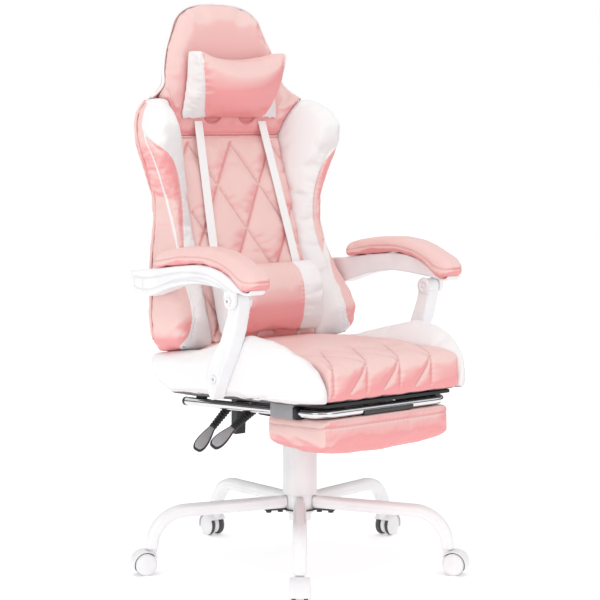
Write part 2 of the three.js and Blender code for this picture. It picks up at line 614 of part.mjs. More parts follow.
function addArms() {
  const [by, bz] = UPPER_PIVOT;
  const beam = slabX(outline([...armTop, ...armUnder]), ARM.inner, ARM.outer, 2);
  const cheekShape = new THREE.Shape();
  cheekShape.moveTo(by - 17, bz + 26);
  cheekShape.lineTo(by - 17, bz);
  cheekShape.absarc(by, bz, 17, Math.PI, 2 * Math.PI, false);
  cheekShape.lineTo(by + 17, bz + 26);
  const cheek = slabX(cheekShape, ARM.outer - ARM.cheek, ARM.outer);
  const boltHole = rod('x', 5.5, 250, 310, [by, bz], 14);
  addPair('arm_frame', cut(join(beam, cheek), boltHole), WHITE_PLASTIC);

  const padLine = [[-211, 656, 667, 15], [-205, 650, 677, 25], [-190, 645, 687, 31], [-172, 648, 694, 33],
    [-154, 660, 701, 33], [-132, 674, 709, 33], [-98, 686, 718, 33], [-44, 694, 723, 33], [28, 691, 720, 33],
    [85, 684, 712, 32], [122, 680, 704, 30], [134, 682, 697, 24]];
  const padRings = padLine.map(([y, low, high, half]) => {
    const middle = 279;
    const rise = high - low;
    return [[-0.86, 0], [0.86, 0], [1, 0.3], [0.94, 0.7], [0.6, 1], [-0.6, 1], [-0.94, 0.7], [-1, 0.3]]
      .map(([s, t]) => v(middle + s * half, y, low + 1 + t * rise));
  });
  const clearance = slabX(outline([...armTop.map(([y, z]) => [y, z + GAP]), [230, 560], [-201, 560]]), 230, 330);
  addPair('arm_pad', cut(loft(padRings), clearance), PINK);

  const [ay, az] = LOWER_PIVOT;
  const post = new THREE.Shape();
  post.moveTo(-55, 404);
  post.lineTo(-82, 455);
  post.lineTo(-112, 508);
  post.lineTo(-133, 556);
  post.lineTo(by - 16, bz - 12);
  post.absarc(by, bz, 17, Math.PI + 0.5, 0, true);
  post.lineTo(-106, 588);
  post.lineTo(-83, 533);
  post.quadraticCurveTo(-42, 490, -34, 458);
  post.quadraticCurveTo(-34, 420, -50, 404);
  const holes = [[by, bz], [ay, az]].map((centre) => rod('x', 5.5, 250, 310, centre, 14));
  const rounded = slabX(post, POST.inner, POST.outer, 2);
  const recess = rod('x', 9.5, POST.outer - 4, POST.outer + 9, [ay, az], 16);
  const cheekRoom = rod('x', 18.5, ARM.outer - ARM.cheek - GAP, 320, [by, bz], 20);
  addPair('arm_post', cut(rounded, ...holes, recess, cheekRoom), WHITE_PLASTIC);

  const bolt = (centre, head) => join(rod('x', 5, 259, head - 2, centre, 14),
    rod('x', 8.5, head - 4 + GAP, head, centre, 16));
  addPair('upper_pivot', bolt([by, bz], ARM.outer + 4), STEEL);
  addPair('lower_pivot', bolt([ay, az], POST.outer), STEEL);
}

addBase();
addColumn();
addMechanism();
LEVERS.forEach(addLever);
addFootrest();
addRailGuides();
addSeat();
addBack();
addCushions();
addArms();

export default chair;
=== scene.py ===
"""Looks of a gaming chair with a pull-out footrest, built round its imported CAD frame.

Lengths in this script are millimetres measured from the swivel axis, as in the CAD source, until
row() turns them into metres in the row frame. The sitter faces -Y and the sitter's right is -X.
"""

import math

import bpy
import numpy as np
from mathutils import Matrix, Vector
from mathutils.bvhtree import BVHTree
from mathutils.kdtree import KDTree


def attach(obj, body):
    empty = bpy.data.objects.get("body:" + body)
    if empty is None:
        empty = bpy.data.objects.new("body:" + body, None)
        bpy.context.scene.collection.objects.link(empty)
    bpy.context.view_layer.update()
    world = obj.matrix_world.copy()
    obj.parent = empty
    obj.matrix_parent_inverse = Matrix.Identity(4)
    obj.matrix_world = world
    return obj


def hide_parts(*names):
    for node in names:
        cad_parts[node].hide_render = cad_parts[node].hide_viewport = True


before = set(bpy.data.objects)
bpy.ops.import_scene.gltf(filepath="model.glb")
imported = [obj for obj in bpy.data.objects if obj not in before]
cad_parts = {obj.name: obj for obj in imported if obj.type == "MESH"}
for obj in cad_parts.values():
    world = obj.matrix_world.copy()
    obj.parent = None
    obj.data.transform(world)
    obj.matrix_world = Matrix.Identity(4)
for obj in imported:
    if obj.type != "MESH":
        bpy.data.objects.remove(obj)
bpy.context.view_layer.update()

SWIVEL = np.array([-8.0, -22.0, 0.0])
MM = 0.001
SIDES = {"right": -1, "left": 1}


# ---- Geometry helpers ----------------------------------------------------------------------
def row(points):
    """Points in millimetres from the swivel axis, as metres in the row frame."""
    return (np.asarray(points, float) + SWIVEL) * MM


def local(points):
    """The reverse of row()."""
    return np.asarray(points, float) / MM - SWIVEL


def spline_table(pairs):
    """A smooth function of one value through (key, value) pairs in rising order of key."""
    keys, values = (np.array(column, float) for column in zip(*pairs))
    slopes = np.gradient(values, keys)

    def at(key):
        key = np.clip(key, keys[0], keys[-1])
        i = np.clip(np.searchsorted(keys, key) - 1, 0, len(keys) - 2)
        span = keys[i + 1] - keys[i]
        t = (key - keys[i]) / span
        a = (2 * t**3 - 3 * t**2 + 1) * values[i] + (t**3 - 2 * t**2 + t) * span * slopes[i]
        return a + (3 * t**2 - 2 * t**3) * values[i + 1] + (t**3 - t**2) * span * slopes[i + 1]

    return at


def smooth_line(points, step=4.0, closed=False):
    """Points every few millimetres along a curve through the given ones."""
    p = np.array(points, float)
    if closed:
        p = np.vstack([p[-1:], p, p[:2]])
    else:
        p = np.vstack([2 * p[0] - p[1], p, 2 * p[-1] - p[-2]])
    out = []
    for a, b, c, d in zip(p, p[1:], p[2:], p[3:]):
        count = max(2, int(np.linalg.norm(c - b) / step))
        t = np.linspace(0, 1, count, endpoint=False)[:, None]
        out.append(0.5 * (2 * b + (c - a) * t + (2 * a - 5 * b + 4 * c - d) * t**2
                          + (3 * b - a - 3 * c + d) * t**3))
    if not closed:
        out.append(p[-2:-1])
    return np.vstack(out)


def straight_line(points, step=4.0):
    """Points every few millimetres along straight runs between the given ones."""
    p = np.array(points, float)
    out = []
    for a, b in zip(p, p[1:]):
        count = max(1, int(np.linalg.norm(b - a) / step))
        out.append(a + (b - a) * np.linspace(0, 1, count, endpoint=False)[:, None])
    return np.vstack([*out, p[-1:]])


def mirrored(points):
    """Points on the other side of the chair."""
    return np.asarray(points, float) * [-1, 1, 1]


def make(name, points, faces, materials, face_materials=None, is_row=False):
    """A new object from points and faces, smooth shaded."""
    mesh = bpy.data.meshes.new(name)
    spots = points if is_row else row(points)
    mesh.from_pydata([tuple(p) for p in spots], [], [tuple(f) for f in faces])
    if face_materials is not None:
        mesh.polygons.foreach_set("material_index", face_materials)
    mesh.polygons.foreach_set("use_smooth", [True] * len(mesh.polygons))
    mesh.update()
    piece = bpy.data.objects.new(name, mesh)
    bpy.context.scene.collection.objects.link(piece)
    for material in materials if isinstance(materials, (list, tuple)) else [materials]:
        mesh.materials.append(material)
    return piece


def loft(rings, closed=False):
    """Points and faces of a skin through rings of equal length, capped unless its path is closed."""
    rings = np.asarray(rings, float)
    count, size = rings.shape[:2]
    faces = []
    for i in range(count if closed else count - 1):
        a, b = i * size, ((i + 1) % count) * size
        faces += [(a + j, a + (j + 1) % size, b + (j + 1) % size, b + j) for j in range(size)]
    if not closed:
        faces.append(tuple(range(size))[::-1])
        faces.append(tuple((count - 1) * size + j for j in range(size)))
    return rings.reshape(-1, 3), faces


def frames_along(line, closed=False):
    """Tangent, side and up directions along a line, carried without twist."""
    ahead = np.roll(line, -1, 0) - np.roll(line, 1, 0)
    if not closed:
        ahead[0], ahead[-1] = line[1] - line[0], line[-1] - line[-2]
    tangents = ahead / np.linalg.norm(ahead, axis=1, keepdims=True)
    up = np.array([0.0, 0.0, 1.0]) if abs(tangents[0][2]) < 0.9 else np.array([0.0, 1.0, 0.0])
    ups = []
    for t in tangents:
        up = up - t * up.dot(t)
        up /= np.linalg.norm(up)
        ups.append(up)
    ups = np.array(ups)
    return tangents, np.cross(tangents, ups), ups


def sweep(line, radius, sides=8, closed=False):
    """Points and faces of a round cord along a line."""
    line = np.asarray(line, float)
    _, side, up = frames_along(line, closed)
    turn = np.linspace(0, 2 * math.pi, sides, endpoint=False)
    section = np.stack([np.cos(turn), np.sin(turn)], 1) * radius
    rings = line[:, None] + side[:, None] * section[None, :, :1] + up[:, None] * section[None, :, 1:]
    return loft(rings, closed)


def merge(*parts):
    """Several (points, faces) pairs as one."""
    points, faces, start = [], [], 0
    for spots, polygons in parts:
        points.append(np.asarray(spots, float))
        faces += [tuple(i + start for i in polygon) for polygon in polygons]
        start += len(spots)
    return np.vstack(points), faces


def lathe(profile, segments=48, axis="z", centre=(0, 0, 0)):
    """A solid turned from (radius, height) points; the first and last lie on the axis or it closes."""
    turn = np.linspace(0, 2 * math.pi, segments, endpoint=False)
    rings = [np.stack([r * np.cos(turn), r * np.sin(turn), np.full(segments, h)], 1) for r, h in profile]
    points, faces = loft(rings)
    if axis == "x":
        points = points[:, [2, 0, 1]]
    if axis == "y":
        points = points[:, [1, 2, 0]]
    return points + np.array(centre, float), faces


def turned_over(faces):
    """The same faces, facing the other way."""
    return [face[::-1] for face in faces]


def turned_about_z(points, degrees):
    """Points turned about the swivel axis, anticlockwise from above."""
    a = math.radians(degrees)
    c, s = math.cos(a), math.sin(a)
    return np.asarray(points, float) @ np.array([[c, s, 0], [-s, c, 0], [0, 0, 1]])


def lower_hull(x, y):
    """The lower envelope of a profile: what a band stretched over it follows."""
    keep = []
    for i in range(len(x)):
        while len(keep) > 1:
            a, b = keep[-2], keep[-1]
            if (y[b] - y[a]) * (x[i] - x[a]) < (y[i] - y[a]) * (x[b] - x[a]):
                break
            keep.pop()
        keep.append(i)
    return np.interp(x, x[keep], y[keep])


def rounded_box(width, height, corner, steps=6):
    """The outline of a rounded rectangle about the origin."""
    out = []
    for quarter in range(4):
        a0 = quarter * math.pi / 2
        cx = (width / 2 - corner) * (1 if quarter in (0, 3) else -1)
        cy = (height / 2 - corner) * (1 if quarter in (0, 1) else -1)
        out += [(cx + corner * math.cos(a), cy + corner * math.sin(a))
                for a in np.linspace(a0, a0 + math.pi / 2, steps)]
    return out


def bevel(piece, width, segments=3, angle=35):
    """Rounds the piece's sharp edges by some millimetres."""
    modifier = piece.modifiers.new("rounded", "BEVEL")
    modifier.width = width * MM
    modifier.segments = segments
    modifier.limit_method = "ANGLE"
    modifier.angle_limit = math.radians(angle)
    modifier.harden_normals = True
    return piece


# ---- Material helpers ----------------------------------------------------------------------
class Graph:
    """A short way to write a material's nodes."""

    def __init__(self, name):
        self.material = bpy.data.materials.new(name)
        self.material.use_nodes = True
        self.tree = self.material.node_tree
        self.shader = self.tree.nodes["Principled BSDF"]
        self.place = self.node("ShaderNodeTexCoord").outputs["Object"]

    def node(self, kind, settings=None, **inputs):
        node = self.tree.nodes.new(kind)
        for key, value in (settings or {}).items():
            setattr(node, key, value)
        for key, value in inputs.items():
            socket = node.inputs[key.replace("_", " ")]
            self.put(socket, value)
        return node

    def put(self, socket, value):
        if isinstance(value, bpy.types.NodeSocket):
            self.tree.links.new(value, socket)
        else:
            socket.default_value = value

    def noise(self, scale, detail=3.0, roughness=0.55):
        return self.node("ShaderNodeTexNoise", Vector=self.place, Scale=scale, Detail=detail,
                         Roughness=roughness).outputs["Fac"]

    def attribute(self, name):
        return self.node("ShaderNodeAttribute", {"attribute_name": name}).outputs["Fac"]

    def band(self, value, low, high, from_low=0.0, from_high=1.0):
        node = self.node("ShaderNodeMapRange", Value=value)
        node.inputs["From Min"].default_value = from_low
        node.inputs["From Max"].default_value = from_high
        node.inputs["To Min"].default_value = low
        node.inputs["To Max"].default_value = high
        return node.outputs["Result"]

    def mix(self, share, a, b, how="MIX"):
        node = self.node("ShaderNodeMix", {"data_type": "RGBA", "blend_type": how})
        self.put(node.inputs[0], share)
        self.put(node.inputs[6], a)
        self.put(node.inputs[7], b)
        return node.outputs[2]

    def math(self, operation, a, b=0.0):
        node = self.node("ShaderNodeMath", {"operation": operation})
        self.put(node.inputs[0], a)
        self.put(node.inputs[1], b)
        return node.outputs[0]

    def bump(self, height, strength, distance, normal=None):
        node = self.node("ShaderNodeBump", Height=height, Strength=strength, Distance=distance)
        if normal is not None:
            self.put(node.inputs["Normal"], normal)
        return node.outputs["Normal"]

    def finish(self, **sockets):
        for key, value in sockets.items():
            self.put(self.shader.inputs[key.replace("_", " ")], value)
        return self.material


def rgb(r, g, b):
    """A colour from its 0 to 255 screen values."""
    linear = [((c / 255 + 0.055) / 1.055) ** 2.4 if c > 10 else c / 255 / 12.92 for c in (r, g, b)]
    return (*linear, 1.0)


# Lit and shaded copies of the pink and the white leather. The shaded ones are painted shade, and the
# leather mixes them by which way a face turns.
PINK_LIT = rgb(241, 206, 201)
PINK_SHADED = rgb(234, 154, 155)
WHITE_LIT = rgb(246, 244, 244)
WHITE_SHADE = rgb(228, 223, 224)
DARK = rgb(38, 38, 42)


def leather_grain(g):
    """Fine pebbled grain over soft creases, as a normal."""
    cells = g.node("ShaderNodeTexVoronoi", {"feature": "SMOOTH_F1"}, Vector=g.place, Scale=620.0,
                   Randomness=1.0).outputs["Distance"]
    creases = g.noise(38.0, 5.0, 0.6)
    fine = g.bump(cells, 0.22, 0.0005)
    return g.bump(creases, 0.10, 0.0025, fine)


def painted_light_share(g):
    """A share of painted light: 1 on faces turned up or to the chair's right, where the lamps shine,
    falling to 0 below, where shade is painted.
    """
    facing = g.node("ShaderNodeVectorMath", {"operation": "DOT_PRODUCT"})
    g.put(facing.inputs[0], g.node("ShaderNodeNewGeometry").outputs["Normal"])
    g.put(facing.inputs[1], (-0.75, 0.0, 1.9))
    return g.band(facing.outputs["Value"], 0.0, 1.0, -0.24, 0.50)


def leather(name, base, shaded, second=None, second_shaded=None, under=False):
    """Synthetic leather, with painted light and shade: paler on faces turned up or to the chair's right.
    The "seam" attribute darkens the sewn lines with painted shade; where second is given, the
    "panel" attribute, in metres, changes to that colour above 0; under blackens the underside."""
    g = Graph(name)
    # Painted light and shade: the lit colour on faces turned up or to the chair's right, the shaded one
    # below, a little uneven at random.
    lit_share = g.math("MULTIPLY", painted_light_share(g), g.band(g.noise(5.0, 2.0), 1.0, 0.85, 0.3, 0.75))
    colour = g.mix(lit_share, shaded, base)
    if second is not None:
        other = g.mix(lit_share, second_shaded, second)
        side = g.band(g.attribute("panel"), 0.0, 1.0, -0.0005, 0.0005)
        colour = g.mix(side, colour, other)
    # Painted shade along the sewn lines: the seams take a deeper pink, or the shaded white.
    seam = g.band(g.attribute("seam"), 0.0, 0.55)
    line = g.mix(0.5, shaded, rgb(150, 96, 98)) if base == PINK_LIT else WHITE_SHADE
    colour = g.mix(seam, colour, line)
    edge = g.node("ShaderNodeNewGeometry").outputs["Pointiness"]
    worn = g.band(edge, 0.0, 0.35, 0.52, 0.62)
    colour = g.mix(worn, colour, g.mix(0.3, base, WHITE_LIT))
    if under:
        facing = g.node("ShaderNodeSeparateXYZ", Vector=g.node("ShaderNodeNewGeometry").outputs["Normal"])
        colour = g.mix(g.band(facing.outputs["Z"], 1.0, 0.0, -0.85, -0.7), colour, DARK)
    rough = g.band(g.noise(60.0, 4.0), 0.38, 0.55)
    return g.finish(Base_Color=colour, Roughness=rough, Normal=leather_grain(g))


def clouded(g, base, shade, scale, share, lowest, dust, deepest):
    """A coat's colour: cloudy, with painted light where it is turned up and painted shade in the hollows.
    """
    cloudy = g.band(g.noise(scale, 3.0), 0.0, share, lowest, 0.8)
    edge = g.node("ShaderNodeNewGeometry").outputs["Pointiness"]
    # Painted shade: the hollows are darkened towards the shade colour.
    hollow = g.band(edge, dust, 0.0, deepest, 0.49)
    # Painted light: paler where the face turns up or to the chair's right.
    lit = g.mix(painted_light_share(g), g.mix(0.35, base, shade), base)
    return g.mix(hollow, g.mix(cloudy, lit, shade), shade)


def painted(name, base, shade, roughness=0.3):
    """Powder-coated metal: slight orange peel; painted light on top, faint painted shade in hollows."""
    g = Graph(name)
    colour = clouded(g, base, shade, 9.0, 0.5, 0.35, 0.55, 0.42)
    rough = g.band(g.noise(45.0, 4.0), roughness - 0.06, roughness + 0.12)
    peel = g.bump(g.noise(420.0, 2.0), 0.08, 0.0004)
    return g.finish(Base_Color=colour, Roughness=rough, Normal=peel, Coat_Weight=0.25)


def moulded(name, base, shade, roughness=0.38, grain=900.0):
    """Moulded plastic with a fine eroded texture; the "seam" attribute greys its moulded lines as painted
    shade.
    """
    g = Graph(name)
    colour = clouded(g, base, shade, 14.0, 0.6, 0.3, 0.6, 0.40)
    # Painted shade: the pressed lines are greyed towards a darker grey.
    colour = g.mix(g.band(g.attribute("seam"), 0.0, 0.8), colour, g.mix(0.5, shade, rgb(150, 148, 150)))
    rough = g.band(g.noise(70.0, 4.0), roughness - 0.05, roughness + 0.12)
    return g.finish(Base_Color=colour, Roughness=rough, Normal=g.bump(g.noise(grain, 2.0), 0.12, 0.0003))


def metal(name, base, shade, roughness, grain=300.0, stretch=(1, 1, 1)):
    """Bare or plated metal with fine polishing marks."""
    g = Graph(name)
    g.place = g.node("ShaderNodeMapping", Vector=g.place, Scale=stretch).outputs["Vector"]
    colour = g.mix(g.band(g.noise(20.0, 3.0), 0.0, 0.5), base, shade)
    rough = g.band(g.noise(grain, 4.0), roughness * 0.7, roughness * 1.5)
    marks = g.bump(g.noise(grain * 2, 3.0), 0.04, 0.0002)
    g.shader.inputs["Metallic"].default_value = 1.0
    return g.finish(Base_Color=colour, Roughness=rough, Normal=marks)


def webbing(name, base, shade):
    """Close woven band: fine crossing ribs."""
    g = Graph(name)
    ribs = [g.node("ShaderNodeTexWave", {"bands_direction": axis}, Vector=g.place, Scale=240.0,
                   Distortion=0.4).outputs["Fac"] for axis in ("X", "Z")]
    weave = g.math("MULTIPLY", *ribs)
    colour = g.mix(g.band(weave, 0.6, 0.0), base, shade)
    return g.finish(Base_Color=colour, Roughness=0.75, Normal=g.bump(weave, 0.4, 0.0006))


def plywood(name):
    """Dark-stained board."""
    g = Graph(name)
    g.place = g.node("ShaderNodeMapping", Vector=g.place, Scale=(1, 14, 14)).outputs["Vector"]
    streaks = g.noise(14.0, 6.0)
    colour = g.mix(streaks, rgb(30, 28, 28), rgb(62, 56, 52))
    return g.finish(Base_Color=colour, Roughness=0.7, Normal=g.bump(streaks, 0.3, 0.0008))


MATERIALS = {
    "pink": leather("pink_leather", PINK_LIT, PINK_SHADED),
    "white": leather("white_leather", WHITE_LIT, WHITE_SHADE, under=True),
    "seat_pink": leather("seat_leather", PINK_LIT, PINK_SHADED, under=True),
    "two_tone": leather("two_tone_leather", WHITE_LIT, WHITE_SHADE, PINK_LIT, PINK_SHADED),
    "white_metal": painted("white_powder_coat", rgb(248, 248, 249), rgb(226, 226, 229)),
    "black_metal": painted("black_powder_coat", rgb(34, 34, 37), rgb(20, 20, 22), 0.42),
    "white_plastic": moulded("white_nylon", rgb(247, 247, 248), rgb(224, 224, 227)),
    "black_plastic": moulded("black_plastic", rgb(40, 40, 43), rgb(22, 22, 24), 0.45),
    "grey_plastic": moulded("grey_plastic", rgb(168, 167, 171), rgb(136, 136, 140), 0.36),
    "inlay": moulded("lever_inlay", rgb(186, 183, 186), rgb(112, 109, 112), 0.22, 420.0),
    "tread": moulded("wheel_tread", rgb(84, 85, 88), rgb(56, 57, 60), 0.55),
    "chrome": metal("polished_chrome", rgb(232, 232, 234), rgb(205, 206, 210), 0.07),
    "steel": metal("turned_steel", rgb(190, 191, 195), rgb(150, 151, 156), 0.28, 160.0, (1, 1, 12)),
    "strap": webbing("white_webbing", rgb(253, 252, 252), rgb(240, 238, 238)),
    "board": plywood("stained_board"),
    "thread": webbing("sewing_thread", rgb(236, 178, 178), rgb(214, 140, 142)),
    "grommet": moulded("pink_grommet", rgb(226, 150, 152), rgb(200, 118, 120), 0.35),
    # Darker than the tread: painted shade of the gap between the wheel's disc and the hood.
    "ring_gap_shade": moulded("wheel_ring_gap_shade", rgb(46, 47, 50), rgb(30, 31, 33), 0.5),
}
CAD_FINISH = {
    "base_hub": "white_metal", "leg_bolts": "black_metal", "lift_cylinder": "white_metal",
    "lift_piston": "steel", "cover_lower": "white_plastic", "cover_middle": "white_plastic",
    "cover_upper": "white_plastic", "mechanism_plate": "black_metal", "lever_bracket": "black_metal",
    "recline_bracket": "black_metal", "footrest_hinge": "black_metal", "back_frame": "steel",
    "seat_board": "board", "rail_sleeve_right": "grey_plastic", "rail_sleeve_left": "grey_plastic",
    "upper_pivot_right": "steel", "upper_pivot_left": "steel",
    "lower_pivot_right": "steel", "lower_pivot_left": "steel",
}

# Edge radii, in mm, of the carried-over nodes with machined or moulded edges.
CAD_ROUNDING = {"rail_sleeve_right": 2.4, "rail_sleeve_left": 2.4, "lever_bracket": 1.2,
                "recline_bracket": 0.8, "mechanism_plate": 1.0, "footrest_hinge": 0.8}


def finish_cad_nodes():
    """Gives every CAD node that stays in view its procedural material."""
    for name, finish in CAD_FINISH.items():
        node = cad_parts[name]
        node.data.materials.clear()
        node.data.materials.append(MATERIALS[finish])
        if name in CAD_ROUNDING:
            bevel(node, CAD_ROUNDING[name])


def settle(piece, body, slot, *nodes):
    """The piece rides on its body and stands for the CAD nodes it replaces; slot is not used."""
    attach(piece, body)
    if nodes:
        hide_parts(*nodes)
    return piece


def add(name, geometry, finish, body, slot, *nodes):
    """A new hard piece from (points, faces), settled on its body."""
    return settle(make(name, *geometry, MATERIALS[finish]), body, slot, *nodes)


def cushion(piece, body, slot, node):
    """A padded piece that stands for one CAD node."""
    settle(piece, body, slot, node)


def both_sides(right, stem):
    """The right-hand piece and its new twin on the left, each with its side's name and sign."""
    return (("right", right, -1), ("left", mirror_copy(right, f"{stem}_left"), 1))


# ---- Mesh work on pieces --------------------------------------------------------------------
def spots(piece):
    """A piece's points, in metres in the row frame."""
    flat = np.empty(len(piece.data.vertices) * 3)
    piece.data.vertices.foreach_get("co", flat)
    return flat.reshape(-1, 3)


def normals(piece):
    """A piece's unit normals, one for each point."""
    flat = np.empty(len(piece.data.vertices) * 3)
    piece.data.vertex_normals.foreach_get("vector", flat)
    return flat.reshape(-1, 3)


def shift(piece, points):
    """Moves a piece's points to the given places, in metres."""
    piece.data.vertices.foreach_set("co", np.ascontiguousarray(points).ravel())
    piece.data.update()
    return piece


def apply_modifiers(piece):
    """Bakes a piece's modifiers into its mesh."""
    graph = bpy.context.evaluated_depsgraph_get()
    done = bpy.data.meshes.new_from_object(piece.evaluated_get(graph))
    old = piece.data
    piece.modifiers.clear()
    piece.data = done
    bpy.data.meshes.remove(old)
    done.name = piece.name
    done.polygons.foreach_set("use_smooth", [True] * len(done.polygons))
    done.update()
    return piece


def relax(piece, rounds, keep=False):
    """Evens a mesh by drawing each point towards its neighbours' mean; keep holds its size."""
    ends = np.empty(len(piece.data.edges) * 2, int)
    piece.data.edges.foreach_get("vertices", ends)
    a, b = ends.reshape(-1, 2).T
    p = spots(piece)
    size = len(p)
    degree = np.bincount(a, minlength=size) + np.bincount(b, minlength=size)
    steps = [0.5, -0.52] * rounds if keep else [0.5] * rounds
    for step in steps:
        mean = np.stack([np.bincount(a, p[b, axis], size) + np.bincount(b, p[a, axis], size)
                         for axis in range(3)], 1) / degree[:, None]
        p += step * (mean - p)
    return shift(piece, p)


def remodel(name, source, finish, voxel, rounds, inset=0.0, keep=False):
    """A finely meshed copy of a CAD node or a piece, softened and drawn in by some millimetres."""
    mesh = (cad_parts[source] if isinstance(source, str) else source).data.copy()
    piece = bpy.data.objects.new(name, mesh)
    bpy.context.scene.collection.objects.link(piece)
    remesh = piece.modifiers.new("remesh", "REMESH")
    remesh.mode = "VOXEL"
    remesh.voxel_size = voxel * MM
    apply_modifiers(piece)
    piece.data.materials.clear()
    piece.data.materials.append(MATERIALS[finish])
    relax(piece, rounds, keep=keep)
    if inset:
        shift(piece, spots(piece) - normals(piece) * inset * MM)
    return piece


def subdivide(piece):
    """Splits each face in four, rounding the piece."""
    modifier = piece.modifiers.new("subdivide", "SUBSURF")
    modifier.levels = modifier.render_levels = 1
    return apply_modifiers(piece)


def mirror_copy(piece, name):
    """The same piece on the other side of the chair."""
    mesh = piece.data.copy()
    twin = bpy.data.objects.new(name, mesh)
    bpy.context.scene.collection.objects.link(twin)
    shift(twin, row(mirrored(local(spots(piece)))))
    mesh.flip_normals()
    mesh.update()
    return twin


def store(piece, name, values):
    """Writes a number for each point, which a material can read."""
    attribute = piece.data.attributes.get(name) or piece.data.attributes.new(name, "FLOAT", "POINT")
    attribute.data.foreach_set("value", np.asarray(values, np.float32))


def surface(piece):
    """A piece's faces, ready to be searched."""
    return BVHTree.FromObject(piece, bpy.context.evaluated_depsgraph_get())


def drape(tree, line, direction):
    """The line dropped onto a surface along a direction; points that miss it are left out."""
    ray = Vector(direction).normalized()
    hits = [tree.ray_cast(Vector(spot) - ray, ray)[0] for spot in row(line)]
    return local([hit for hit in hits if hit is not None]) if any(hits) else np.empty((0, 3))


def nearest(tree, line):
    """The line moved to the nearest points of a surface."""
    return local([tree.find_nearest(Vector(spot))[0] for spot in row(line)])


def spaced(line, gap=1.2):
    """The line evened out, without the points that lie within gap mm of the one before."""
    kept = [line[0]]
    for spot in line[1:]:
        if np.linalg.norm(spot - kept[-1]) > gap:
            kept.append(spot)
    kept = np.array(kept)
    for _ in range(3):
        kept[1:-1] = kept[1:-1] / 2 + (kept[:-2] + kept[2:]) / 4
    return kept


LINE_START = 97


def line_field(points, lines):
    """For each point, its distance from the nearest line and how far along that line it is, in mm.
    Each line counts on from a start of its own, so that no two lines pucker in step."""
    lines = [line for line in lines if len(line) > 1]
    size = sum(len(line) for line in lines)
    tree = KDTree(size)
    along = []
    for line in lines:
        steps = np.linalg.norm(np.diff(line, axis=0), axis=1)
        reached = np.concatenate([[0], np.cumsum(steps)]) + LINE_START * len(along)
        for spot, length in zip(line, reached):
            tree.insert(spot, len(along))
            along.append(length)
    tree.balance()
    found = [tree.find(p) for p in points]
    return np.array([f[2] for f in found]), np.array([along[f[1]] for f in found])


# Puckers lie about 12 mm apart and drift over about 70 mm, as radians per mm of seam.
PUCKER_TURN, PUCKER_DRIFT = 0.52, 0.09


def sew(piece, lines, depth=2.2, width=4.0, pucker=0.35, swell=0.0, reach=22.0):
    """Draws lines into a piece as grooves, with small puckers beside them and fuller padding between."""
    p = local(spots(piece))
    away, along = line_field(p, lines)
    offset = swell * (1 - np.exp(-away / reach)) - depth * np.exp(-(away / width) ** 2)
    wave = np.sin(along * PUCKER_TURN + 1.6 * np.sin(along * PUCKER_DRIFT))
    offset += pucker * wave * np.exp(-away / 7.0) * (1 - np.exp(-(away / 2.5) ** 2))
    shift(piece, row(p + normals(piece) * offset[:, None]))
    # Marks the sewn lines, where the leather paints shade.
    store(piece, "seam", np.exp(-(away / 1.2) ** 2))
    return piece


def press(piece, lines, depth, width):
    """Presses soft valleys into a piece along lines, without stitching."""
    away, _ = line_field(local(spots(piece)), lines)
    offset = -depth * np.exp(-(away / width) ** 2)
    shift(piece, spots(piece) + normals(piece) * offset[:, None] * MM)


def stitches(name, piece, lines, body):
    """A row of pink thread stitches along each line, lying on a piece."""
    pitch, length, lift, thick = 6.0, 3.8, 0.35, 0.5
    tree = surface(piece)
    parts = []
    for line in (nearest(tree, line) for line in lines):
        if len(line) < 3:
            continue
        steps = np.concatenate([[0], np.cumsum(np.linalg.norm(np.diff(line, axis=0), axis=1))])
        for start in np.arange(pitch, steps[-1] - pitch, pitch):
            middle, tip = (np.array([np.interp(at, steps, line[:, k]) for k in range(3)])
                           for at in (start, start + 0.5))
            spot, normal, *_ = tree.find_nearest(Vector(row(middle)))
            if spot is None:
                continue
            up = np.array(normal)
            ahead = tip - middle
            ahead = ahead - up * ahead.dot(up)
            ahead /= np.linalg.norm(ahead) + 1e-9
            side = np.cross(up, ahead)
            centre = local(spot) + up * lift
            ends = [centre - ahead * length / 2 - up * 0.4, centre + ahead * length / 2 - up * 0.4]
            ring = [centre + way * thick for way in (side, up, -side, -up)]
            faces = [(0, 2 + k, 2 + (k + 1) % 4) for k in range(4)]
            faces += [(1, 2 + (k + 1) % 4, 2 + k) for k in range(4)]
            parts.append((ends + ring, faces))
    add(name, merge(*parts), "thread", body, "pink_leather")


def piping(name, line, radius, colour, body):
    """A round leather welt along a line."""
    add(name, sweep(spaced(line), radius, 10), colour, body, f"{colour}_leather")


# ---- Cloth ----------------------------------------------------------------------------------
SIM_FRAMES = 20
swelling = []


def touching(piece, reach, *nodes):
    """Which of a piece's points lie within some millimetres of the given CAD nodes."""
    graph = bpy.context.evaluated_depsgraph_get()
    trees = [BVHTree.FromObject(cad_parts[node], graph) for node in nodes]
    limit = reach * MM
    return np.array([any(tree.find_nearest(Vector(p), limit)[0] is not None for tree in trees)
                     for p in spots(piece)])


def puff(piece, pinned, cap, slack=0.02, pressure=4.0):
    """Lists a piece to be swollen as cloth, held at its pinned points and moved at most cap mm."""
    swelling.append((piece, cap))
    group = piece.vertex_groups.new(name="held")
    group.add([int(i) for i in np.flatnonzero(pinned)], 1.0, "REPLACE")
    cloth = piece.modifiers.new("cloth", "CLOTH")
    cloth.settings.quality = 4
    cloth.settings.use_pressure = True
    cloth.settings.uniform_pressure_force = pressure
    cloth.settings.effector_weights.gravity = 0.0
    cloth.settings.vertex_group_mass = "held"
    cloth.settings.shrink_min = -slack
    cloth.settings.bending_stiffness = 0.5
    cloth.collision_settings.use_collision = False
    cloth.point_cache.frame_end = SIM_FRAMES


